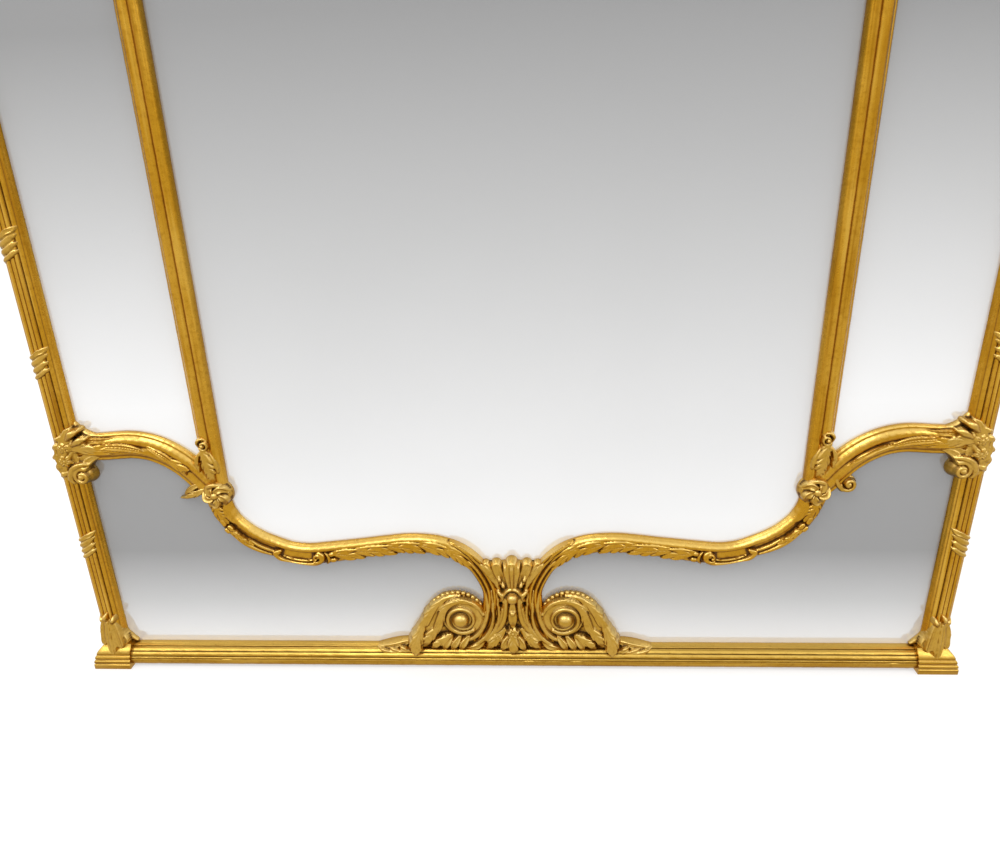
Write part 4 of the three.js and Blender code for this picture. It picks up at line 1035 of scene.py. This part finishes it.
def screwBuild(bench, given):
    # domed screw heads facing back, each with a slot cut by a bar
    radius, height = given["Head Radius"], given["Head Height"]
    head = bench.node("GeometryNodeMeshCylinder", {"fill_type": "NGON"}, {
        "Vertices": 24, "Side Segments": 4, "Fill Segments": 3, "Radius": radius, "Depth": height})
    px, py, pz = bench.apart(bench.node("GeometryNodeInputPosition"))
    reach = bench.node("ShaderNodeMath", {"operation": "SQRT"}, {0: px * px + py * py}) / radius
    drop = reach * reach * 0.55 * height
    place = bench.together(px, py, pz - drop * pz.over(0.0))
    domed = bench.node("GeometryNodeSetPosition", inputs={0: head, "Position": place})
    bar = bench.node("GeometryNodeMeshCube",
                     inputs={"Size": bench.together(radius * 3.0, given["Slot"], height)})
    bar = bench.node("GeometryNodeTransform", inputs={0: bar, "Translation": (0.0, 0.0, 0.0011)})
    cut = bench.node("GeometryNodeMeshBoolean", {"operation": "DIFFERENCE"}, {0: domed, 1: bar})
    turned = bench.node("GeometryNodeTransform", inputs={0: cut, "Rotation": (-math.pi / 2, 0.6, 0.0)})
    spots = bench.node("GeometryNodeMeshToPoints", inputs={0: given["Geometry"]})
    return bench.node("GeometryNodeInstanceOnPoints", inputs={0: spots, "Instance": turned})


stile = {
    # the reeded tool's own inputs, lengths in millimetres
    "sizes": {"Width": 40, "Centre": 728, "Foot": 42.3, "Length": 1640 - 42.3, "Reed Width": 7,
              "Reed Rise": 2.3, "Outer Fall": 8.5, "Valley": -17.6, "Lip": -0.3, "Back": 37, "Rebate": 8},
    "counts": {"Reed Count": 4, "Steps Across": 81, "Steps Along": 90},
    "ties": (246, 571, 754, 937, 1120, 1303),  # heights of the ribbon ties
}
number, whole, leafing = "NodeSocketFloat", "NodeSocketInt", {"Finish": "NodeSocketMaterial"}
stileSockets = dict.fromkeys(stile["sizes"], number) | dict.fromkeys(stile["counts"], whole)
reededTool = nodeTool("reeded_stile", stileSockets | leafing, reededBuild)
pearlTool = nodeTool("pearl_run", {"Count": whole, "Pearl Radius": number} | leafing, pearlBuild)
tieTool = nodeTool("ribbon_ties", {"Tie": "NodeSocketObject"} | leafing, tieBuild)
screwSockets = {"Head Radius": number, "Head Height": number, "Slot": number}
screwTool = nodeTool("screw_heads", screwSockets | leafing, screwBuild)


def mirroredMesh(mesh):
    copy = mesh.copy()
    copy.transform(Matrix.Diagonal((-1, 1, 1, 1)))
    copy.flip_normals()
    return copy


def outerStile():
    sizes = {title: size * mm for title, size in stile["sizes"].items()}
    made = applied(reededTool, bpy.data.meshes.new("blank"),
                   sizes | stile["counts"] | {"Finish": finishes["upright"]})
    settle("gilt_stile_left", mirroredMesh(made), ["outer_stile_left"])
    settle("gilt_stile_right", made, ["outer_stile_right"])
    # ribbon tie: cords wound over the reeds, the top one bright and rising inwards
    tie = Relief(706, 754, -30, 32, cell=0.8, rim=4, edge=4)
    for k, (rise, w) in enumerate(((24, 5.0), (13, 5.4), (2, 5.2), (-9, 4.8))):
        tie.stroke([(714 + k, rise + 4, -14, 2), (722, rise, -18.2, w), (733, rise - 8, -19.0, w * 1.08),
                    (742, rise - 13, -16, w), (747, rise - 17, -10, w * 0.6)], 4.2, sink=3.5)
    tie.stroke([(714, 26, -14, 2), (720, 22, -19, 4.6), (729, 19, -20, 4.8), (738, 12, -18.5, 2.5)],
               4.5, "leaf")
    source = bpy.data.objects.new("tie", shapedMesh("tie", *tie.shape()))
    scene.collection.objects.link(source)
    spots = bpy.data.meshes.new("spots")
    spots.from_pydata([(0, 0, z * mm) for z in stile["ties"]], [], [])
    ties = applied(tieTool, spots, {"Tie": source, "Finish": finishes["carved"]})
    bpy.data.objects.remove(source)
    settle("gilt_ties_left", mirroredMesh(ties), cuts=70)
    settle("gilt_ties_right", ties, cuts=70)


def footLeaf():
    carve = Relief(690, 762, 17, 114, rim=4)
    for spine in (
        [(730, 98, -17, 4), (730, 82, -20, 7), (729, 60, -23, 8.5), (728, 40, -26, 9), (727, 28, -27, 6),
         (727, 19, -26, 2)],
        [(723, 94, -17, 3), (719, 78, -19, 6), (716, 60, -21, 7), (714, 44, -22, 7), (713, 35, -23, 4)],
        [(738, 96, -16, 3), (741, 80, -17, 6), (743, 62, -18, 6.5), (744, 48, -19, 6.5), (744, 38, -19, 3)],
    ):
        carve.stroke(spine, 5, "leaf", sink=3)
    carve.stroke([(729, 92, -24, 1.5), (728, 70, -27, 2.4), (727, 46, -30, 2.4), (727, 28, -31, 1.5)], 2.5)
    carve.stroke([(717, 76, -14, 3), (711, 60, -15, 4.6), (706, 48, -17, 5), (704, 39, -18, 2.4)],
                 3.4, "leaf", sink=3)
    carve.stroke([(707, 58, -5, 2), (702, 50, -6, 3), (697, 44, -6.5, 3), (692, 40, -7, 1.6)], 2.4, "leaf")
    carve.stroke([(745, 86, -9, 3), (750, 70, -10, 4), (752, 56, -11, 4), (752, 44, -10, 3)], 4, "leaf")
    carve.stroke([(722, 88, -19, 3), (718, 95, -22, 5.6), (717, 101, -19, 4)], 6, sink=3)
    carve.stroke([(731, 92, -19, 3), (731, 101, -22, 5.4), (728, 108, -19, 3.6)], 6, sink=3)
    carve.stroke([(740, 86, -15, 3), (742, 93, -17, 4.6), (745, 98, -14, 3)], 4.6, sink=3)
    carve.pair("gilt_foot_leaf", "foot_leaf")


def junction():
    carve = Relief(660, 760, 350, 480, rim=4, edge=3)
    carve.ground([(714, 466), (708, 450), (706, 424), (708, 396), (716, 368), (726, 362), (740, 376),
                  (746, 396), (746, 424), (738, 446), (724, 462)], -19.5)
    carve.stroke([(709, 467, -4, 3), (703, 459, -5, 4), (695, 452, -6, 4.5), (684, 447, -7, 4),
                  (672, 446, -6, 2)], 3.5)
    carve.stroke([(738, 372, -15, 7), (736, 394, -18, 12), (730, 418, -19, 15), (721, 442, -19, 12),
                  (713, 462, -17, 4)], 5.5, "acanthus", 3, 2.2, 1.2)
    carve.stroke([(722, 428, -18, 5), (704, 429, -18, 10), (688, 427, -16, 10), (672, 425, -14, 7),
                  (662, 425, -12, 2)], 5.5, "acanthus", 3, 2.2, 1.2)
    carve.stroke([(716, 446, -21, 4), (706, 455, -23, 7), (699, 459, -19, 4)], 6.5, sink=3)
    carve.stroke([(709, 436, -21, 4), (697, 443, -22, 7), (688, 445, -18, 4)], 6.5, sink=3)
    for z, x, r in ((444, 738, 5), (430, 743, 6.5), (413, 746, 7), (396, 745, 6.5), (381, 741, 5.5)):
        carve.stroke([(x - 11, z + 5, -20, r * 0.7), (x - 4, z + 2, -20.5, r), (x, z, -18, r * 0.9)],
                     4, sink=3)
    carve.rosette(724, 431, -24, 10, 5, 4)
    carve.rosette(727, 408, -24, 11, 6, 4)
    # bracket under the arch, ending in a C-scroll
    carve.stroke([(680, 416, -9, 7), (696, 410, -12, 9), (708, 398, -14, 10)], 3, "flat")
    carve.stroke([(676, 411, -9, 3), (690, 406, -12, 6.5), (700, 397, -15, 8), (704, 386, -16, 6)],
                 4.5, "leaf", sink=3)
    carve.turn(706, 379, [(0, -20), (10, -20), (14, -14), (17, -5)])
    carve.stroke(spiral(706, 379, 14, 5, 115, -300, -18, -23, 5, 3.4, 24), 6.5, sink=3)
    carve.pearl(706, 379, -30, 5)
    carve.stroke([(694, 399, -16, 3), (706, 400, -21, 5), (719, 393, -22, 5.4), (726, 378, -21, 5),
                  (721, 362, -18, 2)], 5.5, sink=3)
    carve.pair("gilt_junction", "junction_scroll")
    carve.pair("gilt_upper_junction", "upper_junction_scroll", over=True)


knuckleCentre = (489, 341)


def knuckle():
    x, z = knuckleCentre
    carve = Relief(461, 517, 312, 370, cell=0.8, rim=4)
    carve.turn(x, z, [(0, -16), (17, -16), (22, -14), (25, -7)])
    for i in range(5):
        a = 2 * math.pi * i / 5 + 0.5
        petal = ((3, 0, -20, 2), (10, 0.22, -21, 6.4), (17, 0.6, -19, 7), (22, 1.1, -13, 3))
        carve.stroke([(x + r * math.cos(a + turn), z + r * math.sin(a + turn), y, w)
                      for r, turn, y, w in petal], 6, "petal", sink=4.5)
    carve.stroke([(x - 16, z + 13, -15, 2), (x - 3, z + 21, -20, 5), (x + 10, z + 18, -20, 5),
                  (x + 18, z + 7, -16, 2)], 5.5)
    carve.pearl(x + 1, z + 1, -28, 6.2)
    carve.pair("gilt_knuckle", "stile_knuckle")
    carve.pair("gilt_upper_knuckle", "upper_knuckle", over=True)


def stileLeaf():
    carve = Relief(472, 520, 360, 448, cell=0.8, rim=4)
    carve.stroke([(499, 432, -14, 4), (496, 414, -17, 8.5), (493, 394, -18, 11), (491, 376, -16, 9),
                  (490, 362, -13, 5)], 5.5, "acanthus", 6)
    carve.stroke([(489, 420, -13, 2), (483, 406, -15, 4.4), (479, 390, -15, 4.6), (479, 376, -13, 2)], 4.6)
    carve.stroke([(505, 418, -13, 2), (511, 406, -14, 4.6), (513, 394, -13, 4.6), (511, 382, -11, 2)],
                 4.6, "leaf")
    carve.stroke([(507, 398, -13, 2), (511, 388, -13, 4.2), (511, 376, -11, 2)], 4)
    carve.turn(495, 431, [(0, -16), (7, -15), (9.5, -10)])
    carve.stroke(spiral(495, 431, 9, 2, 320, -60, -15, -20, 3.4, 2.2, 20), 5)
    carve.stroke([(505, 427, -14, 2), (505, 437, -17, 3.6), (497, 443, -16, 3.4), (488, 438, -13, 2)], 4.6)
    carve.pearl(496, 430, -24, 3.2)
    carve.pair("gilt_stile_leaf", "stile_leaf")


waistReeds = (
    [(47, 150, -9, 3), (44, 124, -11, 5.2), (46, 98, -13, 5.4), (55, 74, -15, 5.4), (70, 57, -16, 4.6),
     (86, 49, -14, 2)],
    [(37, 150, -10, 3), (34, 122, -12, 4.6), (35, 94, -14, 4.8), (43, 70, -16, 5), (57, 51, -17, 4.6),
     (74, 40, -15, 2)],
    [(28, 148, -10, 3), (25, 122, -12, 4), (25, 98, -14, 4), (31, 76, -16, 4.2), (43, 58, -17, 3.6),
     (54, 47, -15, 2)],
)


def cartouche():
    carve = Relief(-68, 68, 18, 241, rim=5)
    half = [(0, 208), (14, 207), (30, 205), (46, 204), (50, 196), (36, 178), (17, 178), (14, 160), (14, 140),
            (16, 118), (22, 96), (32, 72), (42, 50), (42, 26)]
    carve.ground(half + [(-x, z) for x, z in half[:0:-1]], -10)
    # palmette
    carve.both([(20, 146, -10, 3), (28, 168, -11, 6), (38, 186, -12, 7.5), (48, 198, -12, 6.5),
                (54, 204, -10, 4)], 4.6, "acanthus", 3, 2.2, 1.2)
    carve.both([(24, 162, -9, 4), (33, 180, -10, 7), (41, 193, -11, 8.5), (45, 201, -10, 8.5)],
               4.6, "leaf", sink=2)
    carve.both([(10, 154, -12, 4), (17, 174, -13, 7.5), (23, 192, -14, 9.5), (26, 202, -13, 9.5)],
               5, "leaf", sink=2)
    carve.stroke([(0, 154, -15, 4), (0, 176, -18, 7.5), (0, 192, -20, 10.5), (0, 205, -19, 11)],
                 5.4, "leaf", sink=3)
    carve.both([(5, 158, -17, 2), (8, 178, -20, 3.4), (11, 194, -21, 3.8), (12, 205, -19, 2.4)], 4)
    carve.stroke([(0, 160, -20, 2), (0, 182, -24, 3.4), (0, 198, -25, 4.4), (0, 208, -22, 3.4)], 4)
    for x, z in ((14, 166), (20, 178)):
        carve.both([(x, z - 5, -17, 2), (x + 1, z, -19, 4), (x + 2, z + 5, -17, 2)], 4)
    # ball with its collar and ears
    carve.turn(0, 144, [(0, -19), (12, -19), (15, -12)])
    carve.both([(0, 159, -19, 3), (8, 157, -20, 3.2), (14, 150, -20, 3.2), (16, 142, -17, 2)], 4)
    carve.both([(27, 152, -13, 3), (21, 149, -17, 5), (18, 140, -17, 4), (20, 132, -14, 3)], 4.5)
    carve.pearl(0, 144, -34.5, 10)
    # tapering stem with a bellflower
    carve.both([(12, 134, -15, 6), (14, 112, -17, 7), (18, 92, -18, 7), (26, 76, -17, 5)], 3, "flat")
    carve.both([(11, 136, -16, 2.5), (12, 116, -19, 4.4), (16, 96, -20, 5), (25, 78, -19, 4.6),
                (38, 62, -15, 2)], 5)
    # reeds of the scroll rail turning out under the volutes
    for reed in waistReeds:
        carve.both(reed, 4.2, sink=3)
    carve.stroke([(0, 128, -19, 5), (0, 112, -21, 8), (0, 98, -22, 8.5), (0, 86, -20, 5)], 5, "leaf", sink=3)
    carve.pearl(0, 114, -30, 5)
    # hanging leaf between small flowers
    carve.both([(16, 74, -15, 5), (26, 62, -18, 9), (37, 49, -20, 9.5), (46, 38, -18, 5), (50, 32, -15, 2)],
               5.2, "acanthus", 3, 2.2, 1.5)
    carve.both([(5, 66, -19, 4), (12, 55, -22, 7), (17, 45, -24, 7), (19, 36, -22, 3)], 5.2, "leaf", sink=3)
    carve.stroke([(0, 76, -20, 5), (0, 60, -24, 10), (0, 48, -27, 11), (0, 38, -28, 8), (0, 31, -25, 2)],
                 5.4, "acanthus", 3, 3, 1.4)
    carve.rosette(0, 72, -25, 11, 7, 4.4)
    for side in (-1, 1):
        carve.rosette(side * 28, 60, -20, 9.5, 6, 4.2)
    carve.piece("gilt_centre_cartouche", "centre_cartouche")
    carve.piece("gilt_upper_cartouche", "upper_cartouche", over=True)


volute = {
    "x": 89, "z": 97,  # middle of the eye
    "flutes": 13, "from": 142, "to": 12,  # of the shell crest, in degrees
    "reach": 41, "spread": 18, "drift": 4,  # its rim's radius, what that gains, and how far its centre moves
    "pearl": 4.3, "pearlY": -7.2,
}


def crestRim(share, inset):
    # a place near the shell crest's rim, from its inner end (0) to its outer one (1)
    a = math.radians(volute["from"] + (volute["to"] - volute["from"]) * share)
    reach = volute["reach"] + volute["spread"] * share - inset
    return (volute["x"] + volute["drift"] * share + reach * math.cos(a), volute["z"] + reach * math.sin(a))


def baseVolute():
    cx, cz = volute["x"], volute["z"]
    carve = Relief(44, 194, 15, 172, rim=5, edge=4)
    outline = [(56, 112), (58, 120)] + [crestRim(i / 30, 3) for i in range(31)]
    outline += [(158, 88), (170, 68), (176, 40), (150, 34), (100, 30), (56, 30), (54, 60)]
    carve.ground(outline, -9)
    carve.turn(cx, cz, [(0, -17), (28, -18), (33, -17.5), (37, -14), (39, -10)])
    for i in range(volute["flutes"]):
        share = (i + 0.5) / volute["flutes"]
        carve.stroke([(*crestRim(share, inset), y, w)
                      for inset, y, w in ((16, -15, 2.2), (9, -13, 3.6), (3, -8.5, 3.2))], 3)
    carve.stroke([(120, 124, -13, 5), (136, 104, -15, 8), (148, 82, -16, 9), (156, 64, -16, 6)], 3, "flat")
    # leaves sweeping over the eye and down the flank
    carve.stroke([(98, 142, -11, 3), (122, 134, -14, 7), (142, 114, -17, 9), (157, 90, -19, 9),
                  (172, 66, -17, 3)], 5, "acanthus", 4, 2.2, 1.2)
    aroundEye = spiral(cx, cz, 38, 37, 165, 10, -17, -19, 3.5, 8, 10)
    carve.stroke(aroundEye + [(132, 82, -20, 8), (142, 66, -19, 3)], 5, "acanthus", 4, 2.2, 1.2)
    for leaf in ([(128, 84, -17, 5), (142, 70, -20, 9.5), (153, 55, -21, 9.5), (158, 42, -18, 4)],
                 [(112, 62, -17, 5), (126, 55, -20, 8), (138, 46, -21, 8), (145, 37, -18, 3)]):
        carve.stroke(leaf, 5.2, "acanthus", 3, 2.2, 1.2)
    for reed in waistReeds[:2]:
        carve.stroke(reed, 4.2, sink=3)
    for i, x in enumerate((80, 95, 110)):
        carve.stroke([(x, 58, -16, 4), (x + 6, 50, -19, 7), (x + 11, 42, -20, 6.5), (x + 14, 33, -17, 3)], 5,
                     "leaf" if i % 2 else "petal", sink=3)
    carve.stroke([(52, 46, -14, 4), (62, 40, -17, 6), (74, 36, -17, 6), (84, 33, -14, 3)],
                 4.6, "leaf", sink=3)
    # spiral rings about the eye
    carve.turn(cx, cz + 1, [(0, -21), (16, -20), (26, -19), (30, -18)])
    carve.stroke(spiral(cx, cz + 1, 28, 19, -130, 240, -20, -22, 4.6, 3.2, 30), 5, sink=3)
    carve.stroke(spiral(cx, cz + 1, 19, 15, 240, 400, -21, -20, 3.2, 2, 14), 4)
    carve.pearl(cx + 2, cz + 2, -35.5, 14)
    # leaf draped over the rail
    carve.stroke([(156, 96, -17, 4), (164, 76, -22, 9), (172, 56, -27, 12.5), (173, 38, -29, 11),
                  (173.5, 27, -29, 5), (174, 20, -27, 1.5)], 4.6, "acanthus", 4, 3, 1.5)
    carve.stroke([(178, 60, -14, 3), (184, 52, -17, 4.4), (185, 44, -17, 4.2), (182, 36, -16, 2)],
                 4.4, "leaf")
    carve.pair("gilt_volute", "base_volute")
    # pearls along the crest's rim and down the flank
    edge = [crestRim(i / 60, 1) for i in range(61)] + [(155, 98), (161, 86), (167, 73), (171, 64)]
    run = bpy.data.meshes.new("run")
    run.from_pydata([(x * mm, volute["pearlY"] * mm, z * mm) for x, z in edge],
                    [(i, i + 1) for i in range(len(edge) - 1)], [])
    pearls = applied(pearlTool, run, {"Count": volute["flutes"] + 6, "Pearl Radius": volute["pearl"] * mm,
                                      "Finish": finishes["carved"]})
    settle("gilt_shell_pearls_left", mirroredMesh(pearls))
    settle("gilt_shell_pearls_right", pearls)


def baseSpray():
    carve = Relief(180, 250, 22, 58, cell=0.8, rim=4)
    carve.stroke([(180, 45, -8, 4), (196, 43, -12, 6), (214, 40, -15, 6), (231, 37, -14, 4),
                  (247, 34, -10, 2)], 4.4, "leaf")
    for x, z, tx, tz in ((244, 34, 216, 27), (226, 36, 198, 28), (207, 39, 184, 31)):
        carve.stroke([(x, z, -14, 2), (x * 0.65 + tx * 0.35, z * 0.65 + tz * 0.35, -21, 4.4),
                      (tx, tz, -21.5, 4.6), (tx - 5, tz + 3, -18, 2)], 3.4, "leaf", sink=3)
    carve.pair("gilt_spray", "base_spray")


shell = {
    "z": 1886, "flutes": 13, "from": 12, "span": 156,  # centre height, and the fan in degrees
    "side": 92, "rise": 34,  # reach of its outline at the sides, and what the middle adds
    "scrollX": 86, "scrollZ": 1880,
}


def shellTurn(share):
    # angle in the shell's fan, and how near it is to the middle
    nearness = 1 - abs(2 * share - 1)
    return math.radians(shell["from"] + shell["span"] * share), math.sin(nearness * math.pi / 2)


def crest():
    cz = shell["z"]
    carve = Relief(-140, 140, 1850, 2020, back=12, cell=1.25, rim=8, edge=16)
    outline = [(66, 1858), (92, 1872), (100, 1888)]
    for i in range(41):
        a, middle = shellTurn(i / 40)
        reach = shell["side"] + shell["rise"] * middle
        outline.append((reach * math.cos(a), cz + reach * math.sin(a)))
    carve.ground(outline + [(-100, 1888), (-92, 1872), (-66, 1858)], -12)
    for i in range(shell["flutes"]):
        a, middle = shellTurn((i + 0.5) / shell["flutes"])
        far = shell["side"] + 3 + (shell["rise"] + 3) * middle
        flute = ((22, -19, 3), (50, -22, 7), (far - 24, -23, 12), (far - 10, -20, 13), (far, -13, 8))
        carve.stroke([(r * math.cos(a), cz + r * math.sin(a), y, w) for r, y, w in flute], 7, "leaf", sink=6)
    carve.both([(14, 1866, -20, 4), (40, 1860, -24, 9), (64, 1866, -24, 8), (78, 1878, -20, 3)],
               6, "acanthus", 5)
    for side in (-1, 1):
        x, z = side * shell["scrollX"], shell["scrollZ"]
        carve.turn(x, z, [(0, -20), (14, -18), (19, -12), (21, -2)])
        carve.stroke(spiral(x, z, 18, 4, 90, 90 - side * 500, -20, -26, 5, 3.2, 30), 6, sink=5)
        carve.pearl(x, z, -33, 6)
    carve.turn(0, cz, [(0, -24), (12, -24), (15, -20), (18, -22), (22, -21), (25, -14)])
    carve.rosette(0, cz, -27, 15, 8, 5, 0.3)
    carve.piece("gilt_crest_shell", "crest_shell")


def crestSpray():
    spray = Relief(92, 304, 1818, 1908, back=6, cell=1.25, rim=6, edge=8)
    for x, z, tx, tz, w in ((98, 1886, 152, 1896, 10), (122, 1878, 184, 1878, 11), (156, 1872, 220, 1862, 10),
                            (190, 1862, 258, 1846, 9.5), (224, 1850, 300, 1829, 8.5)):
        spray.stroke([(x, z, -10, 3), (x * 0.66 + tx * 0.34, z * 0.66 + tz * 0.34 + 4, -18, w),
                      (x * 0.3 + tx * 0.7, z * 0.3 + tz * 0.7 + 4, -20, w * 0.9), (tx, tz, -12, 2)],
                     7, "acanthus", 5, 4)
    spray.stroke([(94, 1868, -12, 5), (140, 1862, -18, 7), (200, 1850, -20, 6), (280, 1830, -14, 2.5)],
                 6, sink=4)
    spray.pair("gilt_crest_spray", "crest_spray")


hanger = {
    "x": 470, "z": 1480, "axisY": 33.6,  # middle of the ring's straight bar
    "wire": 1.6, "half": 14, "drop": 22, "corner": 3.0,  # ring: radius of the wire, half width, depth
    "strapLow": 2.9, "screws": (18, 42), "seatY": 32.85,  # screws above the strap's lower edge
    "screw": {"Head Radius": 4.2, "Head Height": 1.8, "Slot": 0.9},
}


def hangers():
    h = hanger
    corner = h["corner"]
    path = [(t, 0.0) for t in np.linspace(-h["half"] + corner, h["half"] - corner, 9)]
    for k in range(1, 5):
        a = math.pi / 2 - k * math.pi / 8
        path.append((h["half"] - corner + corner * math.cos(a), -corner + corner * math.sin(a)))
    low = -h["drop"] + h["half"]
    for k in range(0, 25):
        a = -math.pi * k / 24
        path.append((h["half"] * math.cos(a), low + h["half"] * math.sin(a)))
    for k in range(4, 0, -1):
        a = math.pi / 2 + k * math.pi / 8
        path.append((-h["half"] + corner + corner * math.cos(a), -corner + corner * math.sin(a)))
    p = np.asarray(path)
    along = units(np.roll(p, -1, 0) - np.roll(p, 1, 0))
    outward = np.stack([along[:, 1], -along[:, 0]], 1)
    turn = np.linspace(0, 2 * math.pi, 16, endpoint=False)
    radius = h["wire"] * 0.99
    rings = np.stack([
        h["x"] + p[:, :1] + outward[:, :1] * radius * np.cos(turn),
        h["axisY"] + radius * np.broadcast_to(np.sin(turn), (len(p), 16)),
        h["z"] + p[:, 1:] + outward[:, 1:] * radius * np.cos(turn)], -1)
    ring = Carving("steel")
    ring.skin(rings, 0.0, looped=True)
    screw = {title: size * mm for title, size in h["screw"].items()} | {"Finish": finishes["steel"]}
    for mirror, side in sides:
        ring.piece(f"steel_ring_{side}", f"hanger_ring_{side}", f"ring_{side}", mirror)
        x = -h["x"] if mirror else h["x"]
        low = h["z"] + h["strapLow"]
        spots = bpy.data.meshes.new("spots")
        spots.from_pydata([(x * mm, h["seatY"] * mm, (low + rise) * mm) for rise in h["screws"]], [], [])
        settle(f"steel_screws_{side}", applied(screwTool, spots, screw),
               [f"hanger_screw_1_{side}", f"hanger_screw_2_{side}"], "steel")


for make in (baseRail, plinth, innerStile, archRail, scrollRail, topRail, outerStile, footLeaf, junction,
             knuckle, stileLeaf, cartouche, baseVolute, baseSpray, crest, crestSpray, hangers):
    make()
print("carving made")


plates = {
    # the plates keep their solids; lower height, upper height, tones between them, which paint the reflection
    # as a gradient
    "centre_plate": (284, 1600, [
        (0.0, srgb(240, 240, 240)), (0.58, srgb(153, 153, 153)), (1.0, srgb(132, 132, 132))]),
    "side_plate": (490, 1560, [
        (0.0, srgb(241, 241, 241)), (0.505, srgb(153, 153, 153)), (1.0, srgb(134, 134, 134))]),
    "lower_plate": (36, 225, [
        (0.0, srgb(240, 240, 240)), (0.47, srgb(199, 199, 199)), (1.0, srgb(155, 155, 155))]),
    "upper_plate": (1450, 1760, [(0.0, srgb(162, 162, 162)), (1.0, srgb(134, 134, 134))]),
}
for name, node in nodes.items():
    for stem, (low, high, tones) in plates.items():
        if name.startswith(stem):
            node.data.materials.clear()
            node.data.materials.append(finish(f"silvering_{name}", silveringPaintedReflection(low, high, tones)))
    for word, kind in (("batten", "batten"), ("board", "wood"), ("strap", "brass")):
        if word in name:
            node.data.materials.clear()
            node.data.materials.append(finishes[kind])
print("plates and back finished")


stage = {"floorHalf": 14.0, "floorY": -3.0}  # in metres, as the lamps and the camera


def floor():
    mesh = bpy.data.meshes.new("floor")
    half = stage["floorHalf"]
    near, far = stage["floorY"] - half, stage["floorY"] + half
    mesh.from_pydata([(-half, near, 0), (half, near, 0), (half, far, 0), (-half, far, 0)], [], [(0, 1, 2, 3)])
    mesh.materials.append(finishes["floor"])
    ground = bpy.data.objects.new("floor", mesh)
    scene.collection.objects.link(ground)


lamps = {
    # place, aim, width, height, power
    "above": ((-0.7, -1.5, 3.4), (0.0, 0.0, 0.7), 1.2, 1.2, 26.0),
    "left": ((-2.8, -1.6, 2.8), (0.0, 0.0, 0.6), 1.0, 1.0, 15.0),
    "right": ((2.8, -1.8, 2.6), (0.0, 0.0, 0.6), 1.0, 1.0, 13.0),
    "behind": ((0.4, 3.0, 2.8), (0.0, 0.0, 1.0), 1.6, 1.6, 18.0),
}


def light():
    for name, (place, aim, width, height, power) in lamps.items():
        data = bpy.data.lights.new(name, "AREA")
        data.shape = "RECTANGLE"
        data.size, data.size_y, data.energy = width, height, power
        lamp = bpy.data.objects.new(name, data)
        lamp.location = place
        lamp.rotation_euler = (Vector(aim) - Vector(place)).to_track_quat("-Z", "Y").to_euler()
        scene.collection.objects.link(lamp)
    world = bpy.data.worlds.new("studio")
    world.use_nodes = True
    world.node_tree.nodes.clear()
    bench = Bench(world.node_tree)
    seen = bench.node("ShaderNodeLightPath", output=0)
    glossy, clear = Wire(bench.last.outputs[3]), Wire(bench.last.outputs[5])
    shown = seen.joined("MAXIMUM", seen, glossy.joined("MAXIMUM", glossy, clear))
    soft = bench.node("ShaderNodeBackground", inputs={0: (0.95, 0.97, 1.0, 1.0), 1: 0.62})
    bright = bench.node("ShaderNodeBackground", inputs={0: white, 1: 1.0})
    both = bench.node("ShaderNodeMixShader", inputs={0: shown, 1: soft, 2: bright})
    bench.node("ShaderNodeOutputWorld", inputs={0: both})
    scene.world = world


view = {"place": (0.04395, -1.07296, 0.8725), "yaw": -3.049, "pitch": 20.870, "roll": -1.690,
        "lens": 25.99, "sensor": 36, "nearest": 0.01}


def camera():
    yaw, pitch, roll = (math.radians(view[key]) for key in ("yaw", "pitch", "roll"))
    forward = Vector((math.sin(yaw) * math.cos(pitch), math.cos(yaw) * math.cos(pitch), -math.sin(pitch)))
    right = Vector((math.cos(yaw), -math.sin(yaw), 0))
    up = right.cross(forward)
    across = math.cos(roll) * right + math.sin(roll) * up
    upward = -math.sin(roll) * right + math.cos(roll) * up
    data = bpy.data.cameras.new("camera")
    data.lens, data.sensor_width, data.sensor_fit = view["lens"], view["sensor"], "HORIZONTAL"
    data.clip_start = view["nearest"]
    eye = bpy.data.objects.new("camera", data)
    turn = Matrix((across, upward, -forward)).transposed().to_4x4()
    eye.matrix_world = Matrix.Translation(view["place"]) @ turn
    scene.collection.objects.link(eye)
    scene.camera = eye


floor()
light()
camera()
scene.view_settings.view_transform = "Standard"
print("stage, light and camera set")
